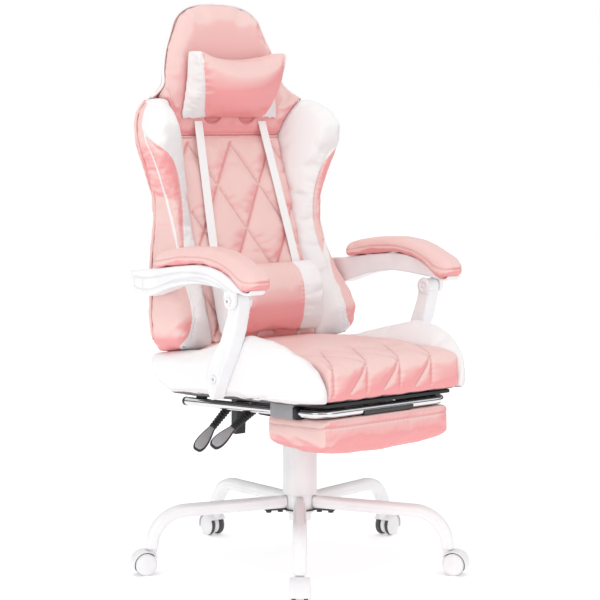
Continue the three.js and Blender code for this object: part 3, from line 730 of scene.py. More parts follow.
def swell_all():
    """Runs every listed cloth together, then keeps its result within each cap."""
    for step in range(1, SIM_FRAMES + 1):
        bpy.context.scene.frame_set(step)
    for piece, cap in swelling:
        before = spots(piece)
        if piece.modifiers:
            apply_modifiers(piece)
        moved = spots(piece) - before
        far = np.linalg.norm(moved, axis=1, keepdims=True)
        allowed = cap * MM * np.tanh(far / (cap * MM)) / np.maximum(far, 1e-9)
        shift(piece, before + moved * allowed)
        piece.vertex_groups.clear()
        relax(piece, 2)
        subdivide(piece)
    bpy.context.scene.frame_set(1)


# ---- Measures shared with the CAD source ----------------------------------------------------
BACK_WIDTH = spline_table([(480, 246), (520, 262), (560, 265), (600, 258), (640, 248), (700, 229),
                           (760, 219), (820, 221), (860, 232), (900, 252), (940, 265), (980, 270),
                           (1015, 258), (1036, 237), (1048, 210), (1075, 176), (1100, 169), (1155, 151),
                           (1190, 135), (1230, 115), (1250, 88), (1262, 50)])
EDGE_Y = spline_table([(480, 210), (560, 213), (600, 221), (700, 257), (760, 260), (820, 256),
                       (985, 258), (1048, 270), (1075, 280), (1100, 290), (1155, 304), (1262, 314)])
CREST_Y = spline_table([(480, 112), (520, 98), (560, 94), (600, 109), (640, 136), (700, 157),
                        (760, 169), (820, 171), (880, 165), (940, 156), (985, 156), (1015, 172),
                        (1036, 202), (1048, 228)])
HEAD_SEAM, SHELL_FRONT = 956.0, 253.4
CENTRE_HALF = 150.0
SEAT_HALF = 188.0
# The welt along the top of a side bolster of the seat.
SEAT_RIDGE = [(-316, 205, 440), (-310, 212, 462), (-290, 224, 490), (-257, 235, 516),
              (-219, 240, 534), (-189, 245, 543), (-126, 250, 550), (-25, 250, 527),
              (33, 250, 508), (80, 250, 497), (142, 250, 489), (200, 250, 480)]
# Where the white wing of a side bolster ends, and the middle of the white band behind it.
WING_EDGE = [(264, 219, 964), (243, 180, 936), (219, 170, 899), (202, 168, 852), (193, 169, 807),
             (192, 167, 755), (200, 158, 700), (213, 146, 656), (212, 138, 636)]
BAND = [(254, 232, 1028), (266, 224, 1005), (270, 218, 965), (264, 205, 925), (250, 200, 880),
        (229, 198, 824), (223, 180, 775), (223, 153, 717), (213, 130, 645), (215, 108, 600),
        (218, 98, 560), (225, 98, 530), (236, 118, 500)]
# The directions in which lines are dropped onto the front, the top and the back of a piece.
FRONT, TOP, REAR = (0, 1, 0), (0, 0, -1), (0, -1, 0)
RAIL_X, RAIL_R = 181.0, 9.5
ARM_X = 279.0


def rail_z(y):
    """The height of the footrest rails' centre line, which rises a little towards the front."""
    return 374.0 - 0.05 * y


# ---- The seat -------------------------------------------------------------------------------
SEAM_PITCH = 93.0


def seat_seams():
    """The quilting as it shows: lines down the front face, and curves that leave them on the top."""
    down, over = [], []
    for k in range(4):
        x = -176 + k * SEAM_PITCH
        down.append(straight_line([(x, -360, 494), (x + 1, -360, 430)], 2))
        if k:
            down.append(smooth_line([(x - 2, -360, 494), (x - 14, -360, 470), (x - 44, -360, 434)], 2))
        over.append(smooth_line([(x, -313, 600), (x - 14, -285, 600), (x - 52, -225, 600),
                                 (x - 92, -165, 600)], 3))
        over.append(smooth_line([(x, -313, 600), (x + 16, -282, 600), (x + 50, -225, 600),
                                 (x + 84, -175, 600)], 3))
    inside = [line[np.abs(line[:, 0]) < SEAT_HALF - 5] for line in over]
    return down, inside


def corner_creases():
    """Short pulled creases where the cover turns the corner beside the right bolster."""
    return [smooth_line([(-184 + 3 * k, -215 - 12 * k, 600), (-172 + 5 * k, -262 - 6 * k, 600),
                         (-166 + 7 * k, -308, 600)], 3) for k in range(4)]


def build_seat():
    pad = remodel("seat_cushion", "seat_pad", "seat_pink", 5.0, 9, 1.5)
    down, over = seat_seams()
    tree = surface(pad)
    lines = [drape(tree, line, FRONT) for line in down] + [drape(tree, line, TOP) for line in over]
    away, _ = line_field(local(spots(pad)), lines)
    held = touching(pad, 3.2, "seat_side_right", "seat_side_left", "seat_board")
    puff(pad, held | (away < 3.5), 6.0)
    side = remodel("seat_bolster_right", "seat_side_right", "white", 5.0, 6, 1.2)
    held = touching(side, 3.5, "seat_pad", "seat_board", "arm_post_right", "lower_pivot_right",
                    "back_bolster_right")
    puff(side, held, 4.0, 0.01)
    return pad, side


def finish_seat(pad, side):
    down, over = seat_seams()
    tree = surface(pad)
    front = [drape(tree, line, FRONT) for line in down]
    top = [drape(tree, line, TOP) for line in over]
    creases = [drape(tree, line, TOP) for line in corner_creases()]
    sew(pad, front + top, 1.7, 4.0, 0.35, 1.2)
    press(pad, creases, 1.6, 3.0)
    press(pad, front, 1.2, 9.0)
    cushion(pad, "seat", "pink_leather", "seat_pad")
    stitches("seat_thread", pad, front + top, "seat")

    for name, piece, sign in both_sides(side, "seat_bolster"):
        ridge = smooth_line([(sign * (x - 9), y, z) for x, y, z in SEAT_RIDGE], 5)
        tree = surface(piece)
        welt = nearest(tree, ridge)
        low = nearest(tree, smooth_line([(sign * 240, y, 416 - 0.05 * y) for y in range(-280, 200, 30)], 5))
        sew(piece, [welt + [-sign * 5, 0, -1], low], 1.0, 3.0, 0.25, 0.6)
        cushion(piece, "seat", "white_leather", f"seat_side_{name}")
        piping(f"seat_welt_{name}", welt + [0, 0, 0.4], 1.9, "white", "seat")


def add_seat_tray():
    """The black dust board that closes the seat from below, just over the footrest rails."""
    outline = [(186, 150), (180, 196), (-180, 196), (-186, 150), (-186, -262), (-176, -296),
               (176, -296), (186, -262)]
    rings = [[(x * k, y * k, 397 - 0.05 * y - low) for x, y in outline]
             for k, low in ((0.99, 9.0), (1.0, 8.0), (1.0, 1.5), (0.99, 0.5))]
    bevel(add("seat_tray", loft(rings), "black_plastic", "seat", "black_plastic"), 0.8)


# ---- The backrest ---------------------------------------------------------------------------
QUILT_ROWS = [940, 845, 745, 648, 550, 455]
QUILT_STEP = 60.5


def quilt_lines():
    """The crossing diagonals of the centre panel, seen from the front."""
    lines = []
    for j, (high, low) in enumerate(zip(QUILT_ROWS, QUILT_ROWS[1:])):
        for i in range(-4, 5):
            if (i + j) % 2:
                continue
            for way in (-1, 1):
                line = straight_line([(i * QUILT_STEP, -100, high), ((i + way) * QUILT_STEP, -100, low)], 2)
                inside = (np.abs(line[:, 0]) < CENTRE_HALF - 4) & (line[:, 2] > 505)
                if inside.sum() > 3:
                    lines.append(line[inside])
    return lines


def head_seam():
    """The sewn line along the foot of the head panel."""
    z = HEAD_SEAM + 9
    return straight_line([(-CENTRE_HALF - 3, -100, z), (CENTRE_HALF + 3, -100, z)], 2)


def section_turn(points):
    """The angle of each point round the bolster's core, from straight ahead to straight behind, and
    its distance from that core."""
    x, y, z = np.abs(points[:, 0]), points[:, 1], points[:, 2]
    cx = (CENTRE_HALF + 2 + BACK_WIDTH(z)) / 2
    cy = (CREST_Y(z) + EDGE_Y(z)) / 2
    return np.arctan2(x - cx, cy - y), np.hypot(x - cx, y - cy)


def colour_bolster(piece):
    """Writes the signed distance to the pink leather of a side bolster."""
    p = local(spots(piece))
    turn, reach = section_turn(p)
    bounds = {}
    for name, line in (("wing", WING_EDGE), ("band", BAND)):
        points = np.array(sorted(line, key=lambda spot: spot[2]), float)
        bounds[name] = spline_table(list(zip(points[:, 2], section_turn(points)[0])))
    half = np.interp(p[:, 2], [490, 560, 690, 720, 956], [7, 8, 5, 2.2, 2.0])
    from_band = (turn - bounds["band"](p[:, 2])) * reach
    from_wing = (turn - bounds["wing"](p[:, 2])) * reach
    crescent = np.minimum(from_wing, -half - from_band)
    crescent = np.where(p[:, 2] < 640, np.minimum(crescent, (p[:, 2] - 640) * 1.0), crescent)
    beyond = from_band - half
    crescent = np.minimum(crescent, 957 - p[:, 2])
    pink = np.minimum(np.maximum(beyond, crescent), 1032 - p[:, 2])
    store(piece, "panel", pink * MM)


def build_back():
    centre = remodel("back_centre", "back_centre_pad", "pink", 5.0, 4, 1.0)
    p = local(spots(centre))
    # The foot reaches down to the seat.
    p[:, 2] -= 6.0 * np.clip((524 - p[:, 2]) / 24, 0, 1)
    shift(centre, row(p))
    tree = surface(centre)
    lines = [drape(tree, line, FRONT) for line in quilt_lines()]
    away, _ = line_field(local(spots(centre)), lines)
    held = touching(centre, 3.2, "back_bolster_right", "back_bolster_left", "back_head_pad", "back_shell")
    puff(centre, held | (away < 3.0), 8.0, 0.02)
    head = remodel("head_panel", "back_head_pad", "pink", 5.0, 4, 0.7)
    puff(head, touching(head, 3.2, "back_centre_pad", "back_bolster_right", "back_bolster_left",
                        "back_shell"), 5.0)
    side = remodel("back_wing_right", "back_bolster_right", "two_tone", 4.5, 6, 0.8)
    p = local(spots(side))
    p[:, 2] -= (8.0 + 4.0 * np.clip((p[:, 1] - 150) / 50, 0, 1)) * np.clip((530 - p[:, 2]) / 34, 0, 1)
    shift(side, row(p))
    edges = [smooth_line([(-x, y, z) for x, y, z in WING_EDGE], 3),
             smooth_line([(-x, y, z) for x, y, z in BAND], 3)]
    tree = surface(side)
    away, _ = line_field(local(spots(side)), [nearest(tree, line) for line in edges])
    held = touching(side, 3.2, "back_centre_pad", "back_head_pad", "back_shell", "seat_side_right",
                    "recline_bracket")
    puff(side, held | (away < 3.0), 6.0)
    shell = remodel("back_cover", "back_shell", "pink", 6.0, 5, 1.0)
    return centre, head, side, shell


def finish_back(centre, head, side, shell):
    tree = surface(centre)
    lines = [drape(tree, line, FRONT) for line in quilt_lines()]
    sew(centre, lines, 2.8, 3.8, 0.2, 3.6, 16.0)
    cushion(centre, "back", "pink_leather", "back_centre_pad")
    stitches("quilt_thread", centre, lines, "back")

    tree = surface(head)
    lines = [drape(tree, head_seam(), FRONT)]
    sew(head, lines, 1.3, 3.0, 0.3)
    cushion(head, "back", "pink_leather", "back_head_pad")
    stitches("head_thread", head, lines, "back")
    add_grommets(surface(head))

    for name, piece, sign in both_sides(side, "back_wing"):
        tree = surface(piece)
        wing = nearest(tree, smooth_line([(sign * x, y, z) for x, y, z in WING_EDGE], 3))
        band = nearest(tree, smooth_line([(sign * x, y, z) for x, y, z in BAND if z < 970], 3))
        sew(piece, [wing, band], 1.5, 3.2, 0.3, 1.0, 18.0)
        colour_bolster(piece)
        cushion(piece, "back", "white_leather", f"back_bolster_{name}")
        tree = surface(piece)
        add_band(f"back_band_{name}", nearest(tree, band), tree)

    tree = surface(shell)
    lines = [drape(tree, line, REAR) for line in shell_seams()]
    sew(shell, lines, 1.4, 3.2, 0.3, 0.8)
    cushion(shell, "back", "pink_leather", "back_shell")
    stitches("cover_thread", shell, lines, "back")
    add_edge_welts()


def shell_seams():
    """The cover's sewn outline and cross seam, seen from behind."""
    z = np.arange(505, 1246, 6.0)
    side = np.stack([BACK_WIDTH(z) - 26, np.full_like(z, 450), z], 1)
    top = straight_line([(-72, 450, 1243), (72, 450, 1243)], 5)
    cross = straight_line([(-225, 450, HEAD_SEAM), (225, 450, HEAD_SEAM)], 5)
    low = straight_line([(-225, 450, 512), (225, 450, 512)], 5)
    return [side, mirrored(side), top, cross, low]


def add_band(name, line, tree):
    """The raised white band between the wing and the pink side, thin above and broad at the hip."""
    line = spaced(line)
    tangents, _, _ = frames_along(line)
    rings = []
    for spot, tangent in zip(line, tangents):
        up = np.array(tree.find_nearest(Vector(row(spot)))[1])
        up -= tangent * up.dot(tangent)
        up /= np.linalg.norm(up)
        across = np.cross(tangent, up)
        half = np.interp(spot[2], [490, 560, 690, 720, 956], [6.5, 7.5, 4.5, 2.4, 2.0])
        high = min(half, 2.6)
        turn = np.linspace(0, 2 * math.pi, 12, endpoint=False)
        rings.append([spot + across * half * math.cos(a) + up * high * (math.sin(a) * 0.8) for a in turn])
    add(name, loft(rings), "white", "back", "white_leather")


def add_edge_welts():
    """Welts where the front covers meet the shell: white over the head, pink down the sides, and a
    pink one across the foot of the head panel."""
    z = np.concatenate([np.arange(1044, 1250, 5.0), [1255, 1259, 1261.5]])
    side = np.stack([BACK_WIDTH(z) + 0.5, EDGE_Y(z) - 13.0, z], 1)
    piping("head_welt", np.vstack([side, mirrored(side)[::-1]]) - [0, 0, 0.8], 3.4, "white", "back")
    z = np.arange(508, 1042, 6.0)
    side = np.stack([BACK_WIDTH(z) - 1.5, EDGE_Y(z) - 12.0, z], 1)
    for name, line in (("left", side), ("right", mirrored(side))):
        piping(f"side_welt_{name}", line, 3.4, "pink", "back")
    across = straight_line([(-146, SHELL_FRONT, HEAD_SEAM), (146, SHELL_FRONT, HEAD_SEAM)], 6)
    piping("cross_welt", across, 2.6, "pink", "back")


def add_grommets(tree):
    """Two moulded rims under the pillow, where a strap can pass through the head panel."""
    turn = np.linspace(0, 2 * math.pi, 40, endpoint=False)
    for name, x in (("right", -50), ("left", 50)):
        ring = np.stack([x + 24 * np.cos(turn), np.full(40, -100.0), 1008 + 21 * np.sin(turn)], 1)
        rim = drape(tree, ring, FRONT)
        rim_tube = sweep(rim + [0, -0.6, 0], 3.0, 10, True)
        add(f"grommet_{name}", rim_tube, "grommet", "back", "pink_leather")
        centre = drape(tree, [(x, -100, 1008)], FRONT)[0]
        rings = [[centre + (spot - centre) * share + [0, -lift, 0] for spot in rim]
                 for share, lift in ((0.97, 0.3), (0.8, 1.4), (0.45, 1.0), (0.12, 0.8))]
        add(f"grommet_plate_{name}", loft(rings), "grommet", "back", "pink_leather")


def add_straps():
    """Two flat bands drawn tight over the centre panel, from the head panel down behind the lumbar roll."""
    graph_trees = [surface(bpy.data.objects[name]) for name in ("back_centre", "head_panel")]
    for name, sign in SIDES.items():
        path = smooth_line([(sign * 119, -100, 560), (sign * 116, -100, 690), (sign * 93, -100, 992)], 8)
        height, front = [], []
        for x, _, z in path:
            hits = [drape(tree, [(x + dx, -100, z)], FRONT) for tree in graph_trees for dx in (-9, 0, 9)]
            height.append(z)
            front.append(min(hit[0][1] for hit in hits if len(hit)))
        height, front = np.array(height), np.array(front)
        tight = lower_hull(height, front) - 1.6
        centre = np.stack([path[:, 0], tight, height], 1)
        section = [(11.5, 0.0), (10.8, 0.9), (-10.8, 0.9), (-11.5, 0.0), (-10.8, -0.9), (10.8, -0.9)]
        rings = [[spot + [s, d, 0] for s, d in section] for spot in centre]
        bevel(add(f"strap_{name}", loft(rings), "strap", "back", "white_leather", f"back_strap_{name}"),
              0.3, 2)


# ---- Loose cushions -------------------------------------------------------------------------
PILLOW_TOP, PILLOW_LOW = 1150.0, 995.0
PILLOW_FRONT = spline_table([(PILLOW_LOW, 90), (1008, 94), (1040, 104), (1082, 115), (1115, 123),
                             (PILLOW_TOP, 132)])
PILLOW_BACK = spline_table([(PILLOW_LOW, 153), (1008, 148), (1040, 138), (1082, 129), (PILLOW_TOP, 122)])
PILLOW_SEAM_Y = spline_table([(PILLOW_LOW, 238), (1008, 229), (1040, 212), (1082, 199), (1115, 194),
                              (PILLOW_TOP, 191)])
PILLOW_FRONT_Y = spline_table([(PILLOW_LOW, 233), (1008, 203), (1040, 178), (1082, 170), (1115, 178),
                               (PILLOW_TOP, 205)])
LUMBAR_BAND = 85.0
PILLOW_REST_Y = 249.0


def pillow_sag(s, t):
    """How far the pillow's top edge dips and its foot rises between the corners."""
    return (1 - s * s) * (8 * (1 - t) - 17 * t)


def build_pillow():
    """A neck pillow: its front narrows downwards, and white gussets run back from there to its foot."""
    rings = []
    for t in np.linspace(0, 1, 25):
        z = PILLOW_LOW + (PILLOW_TOP - PILLOW_LOW) * t
        f, r, y, seam = (table(z) for table in (PILLOW_FRONT, PILLOW_BACK, PILLOW_FRONT_Y, PILLOW_SEAM_Y))
        front = [(s * f, y + (seam - y) * abs(s) ** 2.2, z + pillow_sag(s, t))
                 for s in np.linspace(-1, 1, 21)]
        back = [(s * r, PILLOW_REST_Y, z + pillow_sag(s, t)) for s in np.linspace(1, -1, 21)]
        rings.append(front + back)
    block = make("pillow_block", *loft(rings), MATERIALS["two_tone"])
    pillow = remodel("neck_pillow", block, "two_tone", 4.0, 2, 1.2)
    bpy.data.objects.remove(block)
    p = local(spots(pillow))
    line = np.hypot(np.abs(p[:, 0]) - PILLOW_FRONT(p[:, 2]), p[:, 1] - PILLOW_SEAM_Y(p[:, 2]))
    puff(pillow, (p[:, 1] > PILLOW_REST_Y - 6) | (line < 4.5), 8.0, 0.03)
    return pillow


def build_small_cushions():
    lumbar = remodel("lumbar_roll", "lumbar_cushion", "two_tone", 4.5, 4, 2.0)
    p = local(spots(lumbar))
    held = touching(lumbar, 4.5, "back_strap_right", "back_strap_left", "back_centre_pad")
    puff(lumbar, held | (np.abs(p[:, 0]) > 142) | (np.abs(np.abs(p[:, 0]) - LUMBAR_BAND) < 2.5), 6.0, 0.03)
    rest = remodel("footrest_cushion", "footrest_pad", "pink", 4.0, 2, 0.3, keep=True)
    p = local(spots(rest))
    # The pad's top rises to the hinge plate.
    p[:, 2] += 3.0 * np.clip((p[:, 2] - 350) / 15, 0, 1)
    shift(rest, row(p))
    held = touching(rest, 4.0, "footrest_hinge")
    upright = (np.abs(np.abs(p[:, 0]) - 179) < 4.0) & (p[:, 1] < -284)
    puff(rest, held | (p[:, 2] > 366) | upright, 4.0, 0.01)
    arm = remodel("arm_cushion_right", "arm_pad_right", "pink", 3.5, 7, 0.2, keep=True)
    relax(arm, 2)
    p = local(spots(arm))
    # The pad thickens down onto the arm, most at its rear end.
    top = ARM_PAD_TOP(p[:, 1])
    p[:, 2] = top + (p[:, 2] - top) * (1.1 + 0.3 * np.clip((p[:, 1] - 85) / 45, 0, 1))
    shift(arm, row(p))
    puff(arm, touching(arm, 3.0, "arm_frame_right"), 4.0, 0.02)
    return lumbar, rest, arm


ARM_PAD_TOP = spline_table([(-207, 674), (-154, 701), (-98, 718), (-44, 723), (28, 720), (85, 712),
                            (134, 697)])
# The arm pad's lower face, upper face and half width along the arm, by y.
ARM_PAD_LINE = [(-207, 653, 674, 21), (-190, 645, 687, 31), (-172, 648, 694, 33), (-154, 660, 701, 33),
                (-132, 674, 709, 33),
                (-98, 686, 718, 33), (-44, 694, 723, 33), (28, 691, 720, 33), (85, 684, 712, 32),
                (122, 680, 704, 30)]


def finish_cushions(pillow, lumbar, rest, arm):
    p = local(spots(pillow))
    depth = (p[:, 1] - PILLOW_SEAM_Y(p[:, 2])) / (PILLOW_REST_Y - PILLOW_SEAM_Y(p[:, 2]))
    side = PILLOW_FRONT(p[:, 2]) + (PILLOW_BACK(p[:, 2]) - PILLOW_FRONT(p[:, 2])) * depth
    pink = np.maximum(PILLOW_SEAM_Y(p[:, 2]) - 1 - p[:, 1], side - 8 - np.abs(p[:, 0]))
    store(pillow, "panel", pink * MM)
    tree = surface(pillow)
    z = np.arange(1000, 1146, 3.0)
    side = np.stack([PILLOW_FRONT(z), PILLOW_SEAM_Y(z), z], 1)
    edges = [nearest(tree, side), nearest(tree, mirrored(side))]
    sew(pillow, edges, 1.2, 2.6, 0.3, 0.8)
    cushion(pillow, "pillow", "pink_leather", "head_pillow")
    tree = surface(pillow)
    for name, line in zip(("left", "right"), edges):
        piping(f"pillow_welt_{name}", nearest(tree, line), 1.2, "white", "pillow")

    p = local(spots(lumbar))
    store(lumbar, "panel", (LUMBAR_BAND - np.abs(p[:, 0])) * MM)
    ring = smooth_line([(0, y, z) for y, z in ((126, 674), (98, 658), (80, 622), (77, 585), (82, 545),
                                               (98, 512))], 3)
    tree = surface(lumbar)
    lines = [nearest(tree, ring + [sign * LUMBAR_BAND, 0, 0]) for sign in (-1, 1)]
    sew(lumbar, lines, 1.6, 3.0, 0.5, 1.0)
    cushion(lumbar, "lumbar", "pink_leather", "lumbar_cushion")

    tree = surface(rest)
    corners = [(-184, -112), (-184, -296), (184, -296), (184, -112)]
    loop = straight_line([(x, y, rail_z(y) - 29) for x, y in corners], 3)
    line = nearest(tree, loop)
    uprights = [nearest(tree, straight_line([(sign * 182, -294, z) for z in (318, 366)], 3))
                for sign in (-1, 1)]
    sew(rest, [line], 1.1, 2.6, 0.3, 0.7)
    press(rest, uprights, -0.8, 3.0)
    cushion(rest, "footrest_flap", "pink_leather", "footrest_pad")
    stitches("footrest_thread", rest, [line], "footrest_flap")

    for name, piece, sign in both_sides(arm, "arm_cushion"):
        tree = surface(piece)
        loop = [(sign * (ARM_X + way * half), y, low + 0.42 * (high - low))
                for way in (1, -1) for y, low, high, half in ARM_PAD_LINE[::way]]
        line = nearest(tree, smooth_line(loop, 3, closed=True))
        sew(piece, [line], 1.4, 2.6, 0.3, 0.6)
        cushion(piece, f"arm_{name}", "pink_leather", f"arm_pad_{name}")
        stitches(f"arm_thread_{name}", piece, [line], f"arm_{name}")


# ---- The base -------------------------------------------------------------------------------
LEG_TURNS = [-130.43 + 72 * k for k in range(5)]
LEG_TOP, LEG_HALF, LEG_BEND, STEM = 142.0, 14.0, 78.0, 340.0
WHEEL_R, TRAIL = 25.0, 18.0


def leg_centres():
    """Radius, height, lean and half width along a leg, from the hub to the stem socket."""
    start = STEM + 2 - LEG_BEND
    run = [(r, LEG_TOP - 5 * (r - 33) / (start - 33), 0.0, w)
           for r, w in zip(np.linspace(33, start, 26), np.interp(np.linspace(33, start, 26),
                                                                 [33, 62, 110, start], [11, 12, 15, 16]))]
    bend = [(start + LEG_BEND * math.sin(a), LEG_TOP - 5 - LEG_BEND * (1 - math.cos(a)), a,
             16 - a * 2 / math.pi) for a in np.linspace(0.06, math.pi / 2, 24)]
    return run + bend + [(STEM + 2, 57.6, math.pi / 2, 15.0)]


def leg_section(count=48):
    """A pressed steel leg in section: rounded above, creased along each side, flatter below."""
    turn = np.linspace(0, 2 * math.pi, count, endpoint=False)
    s, h = np.cos(turn), np.sin(turn)
    power = np.where(h > 0, 0.78, 0.62)
    wide = np.sign(s) * np.abs(s) ** power
    tall = np.sign(h) * np.abs(h) ** power
    crease = 0.075 * np.exp(-((h - 0.12) / 0.11) ** 2)
    return np.stack([wide * (1 - crease), tall], 1)


def add_legs():
    section = leg_section()
    rings = []
    for r, z, lean, width in leg_centres():
        up = section[:, 1] * LEG_HALF
        rings.append(np.stack([r + up * math.sin(lean), section[:, 0] * width,
                               z + up * math.cos(lean)], 1))
    first, last = np.array(rings[0]), np.array(rings[-1])
    rings = [first.mean(0) + (first - first.mean(0)) * 0.86 + [-0.6, 0, 0], *rings,
             last.mean(0) + (last - last.mean(0)) * 0.9 + [0, 0, -0.3]]
    points, faces = loft(rings)
    for k, turn in enumerate(LEG_TURNS, 1):
        geometry = turned_about_z(points, turn), faces
        bevel(add(f"leg_{k}", geometry, "white_metal", "base", "white_metal", f"base_leg_{k}"), 0.8)


def hood_geometry():
    """One caster's fork: a curved mudguard over both wheels with a web and stem collar."""
    cx, cz = STEM + TRAIL, WHEEL_R
    parts = []
    arc = np.radians(np.linspace(-16, 150, 36))
    crown = np.linspace(-21.4, 21.4, 13)
    section = [(29.8 - 1.4 * (abs(y) / 21.4) ** 4, y) for y in crown]
    section += [(27.0, y) for y in crown[::-1]]
    parts.append(loft([[(cx + q * math.cos(a), y, cz + q * math.sin(a)) for q, y in section] for a in arc]))
    web = [(r * math.cos(a), r * math.sin(a)) for r, a in
           zip(np.full(48, 21.5), np.linspace(0, 2 * math.pi, 48, endpoint=False))]
    rings = [[(cx + x * k, y, cz + z * k) for x, z in web]
             for k, y in ((0.96, -5.9), (1, -5.0), (1, 5.0), (0.96, 5.9))]
    parts.append(loft(rings))
    link = [(cx - 16, cz + 12), (cx - 20, cz + 27), (cx + 4, cz + 27.5), (cx + 8, cz + 18)]
    parts.append(loft([[(x, y, z) for x, z in link] for y in (-6, 6)]))
    collar = [(0.01, 40), (7.4, 40), (8.2, 44), (9.6, 50.5), (10.0, 52), (10.0, 56), (9.2, 56.8),
              (0.01, 56.8)]
    parts.append(lathe(collar, 32, centre=(STEM, 0, 0)))
    return merge(*parts)


def add_casters():
    hood, hood_faces = hood_geometry()
    stem = lathe([(0.01, 50), (5.0, 50), (5.0, 81), (4.2, 82), (0.01, 82)], 20, centre=(STEM, 0, 0))
    disc = [(0.01, 23.8), (8, 23.5), (15, 22.7), (20, 21.3), (23, 19.6), (24.1, 18.3), (24.4, 17.0)]
    # The ring between disc and tread takes the darker ring colour, painted shade of the gap under the hood.
    ring = [(24.4, 17.0), (24.5, 16.6), (24.7, 16.2), (24.9, 15.6)]
    tread = [(24.9, 15.6), (25.0, 14.5), (25.0, 11.8), (24.7, 9.6), (23.6, 8.4), (21.0, 8.0), (5.0, 8.0)]
    profile = disc + ring + tread
    parts, kinds = [], []
    for sign in (-1, 1):
        shape = [(r, sign * h) for r, h in profile] + [(0.01, sign * 8.0)]
        points, faces = lathe(shape, 56, "y", (STEM + TRAIL, 0, WHEEL_R))
        parts.append((points, faces if sign > 0 else turned_over(faces)))
        per_band = len(disc) - 1
        for index in range(len(faces)):
            band = index // 56
            kinds.append(0 if band < per_band or index >= 56 * (len(shape) - 1)
                         else 1 if band < per_band + len(ring) else 2)
    axle = lathe([(0.01, -8.4), (4.0, -8.4), (4.0, 8.4), (0.01, 8.4)], 16, "y", (STEM + TRAIL, 0, WHEEL_R))
    kinds += [1] * len(axle[1])
    wheel, wheel_faces = merge(*parts, axle)
    looks = [MATERIALS[name] for name in ("white_plastic", "ring_gap_shade", "tread")]
    for k, turn in enumerate(LEG_TURNS, 1):
        fork = add(f"caster_fork_{k}", (turned_about_z(hood, turn), hood_faces), "white_plastic",
                   f"caster_{k}", "white_plastic", f"caster_hood_{k}")
        bevel(fork, 0.7, 2, 40)
        add(f"caster_stem_{k}", (turned_about_z(stem[0], turn), stem[1]), "steel", f"caster_{k}", "steel")
        pair = make(f"caster_pair_{k}", turned_about_z(wheel, turn), wheel_faces, looks, kinds)
        settle(pair, f"wheels_{k}", "caster_wheel", f"caster_wheels_{k}")


# ---- Levers and footrest frame ---------------------------------------------------------------
LEVERS = {"height": (-10, (-142, 363), (-199, 329), (-254, 294)),
          "recline": (90, (-128, 360), (-177, 316), (-222, 270))}
PADDLE_ROLL = 40.0


def add_levers():
    for name, (y, start, end, tip) in LEVERS.items():
        start, end, tip = (np.array([x, y, z], float) for x, z in (start, end, tip))
        span = end - start
        length = np.linalg.norm(span)
        ahead = span / length
        up = np.cross(ahead, [0, 1, 0])
        profile = [(0.01, -7), (5.5, -7), (6.6, -5.5)]
        count = 9
        # Each fold of the bellows is a groove, a rise, a crest and a fall, smaller towards the tip.
        for i in range(count):
            s, step = length * i / count, length / count
            out = 10.2 - 2.0 * i / count
            profile += [(7.0, s + 0.02 * step), (out, s + 0.2 * step), (out, s + 0.55 * step),
                        (7.0, s + 0.8 * step)]
        profile += [(6.6, length), (0.01, length)]
        points, faces = lathe(profile, 28)
        points = start + points[:, :1] * up + points[:, 1:2] * [0, 1, 0] + points[:, 2:] * ahead
        spindle = sweep([start + [4, 0, 0], [start[0] + 22, y, 364], [-46, y, 364]], 4.4, 16)
        add(f"{name}_bellows", merge((points, faces), spindle), "black_plastic", f"{name}_lever",
            "black_plastic", f"{name}_lever_grip")
        add_paddle(name, end, tip)


def add_paddle(name, end, tip):
    """A flat lever end: a dark shell with a paler domed inlay on each broad face."""
    ahead = (tip - end) / np.linalg.norm(tip - end)
    reach = np.linalg.norm(tip - end)
    up = np.cross(ahead, [0, 1, 0])
    up = up if up[2] > 0 else -up
    roll = math.radians(PADDLE_ROLL)
    wide = np.array([0, 1, 0]) * math.cos(roll) + up * math.sin(roll)
    up = up * math.cos(roll) - np.array([0, 1, 0]) * math.sin(roll)
    along = np.array([-3, 3, 10, 20, 32, 44, 54, 60, 63.5]) / 63.5 * (reach + 1)
    half = np.array([6.4, 7.4, 9.0, 11.4, 13.6, 14.4, 13.2, 10.4, 6.0])
    outline = smooth_line(np.stack([np.r_[along, along[::-1]], np.r_[half, -half[::-1]],
                                    np.zeros(18)], 1), 2.0, closed=True)[:, :2]
    layers = [(-3.9, 0.86), (-3.2, 0.96), (-1.6, 1.0), (1.6, 1.0), (3.2, 0.96), (3.9, 0.86)]
    middle = np.array([reach * 0.5, 0])
    rings = []
    for height, share in layers:
        flat = middle + (outline - middle) * [1 - (1 - share) * 0.4, share]
        rings.append([end + ahead * a + wide * b + up * height for a, b in flat])
    add(f"{name}_paddle", loft(rings), "black_plastic", f"{name}_lever", "grey_plastic",
        f"{name}_lever_paddle")
    parts = []
    for side in (1, -1):
        dome = []
        for share, height in ((0.84, 3.6), (0.8, 4.4), (0.62, 4.9), (0.35, 5.1), (0.1, 5.2)):
            flat = middle + (outline - middle) * [1 - (1 - share) * 0.75, share]
            dome.append([end + ahead * a + wide * b + up * height * side for a, b in flat])
        points, faces = loft(dome)
        parts.append((points, faces if side > 0 else turned_over(faces)))
    add(f"{name}_inlay", merge(*parts), "inlay", f"{name}_lever", "grey_plastic")


def rail_line():
    """The footrest tube's centre line: back along one side, across the front and back again."""
    half, front, rear, corner = RAIL_X, -281.0, 185.0, 36.0
    side = [(-half, y) for y in np.linspace(rear, front + corner, 40)]
    turn = [(-half + corner - corner * math.cos(a), front + corner - corner * math.sin(a))
            for a in np.linspace(0, math.pi / 2, 14)[1:]]
    left = side + turn
    flat = np.array(left + [(x, front) for x in np.linspace(-half + corner, half - corner, 24)[1:-1]]
                    + [(-x, y) for x, y in left[::-1]])
    return np.column_stack([flat, rail_z(flat[:, 1])])


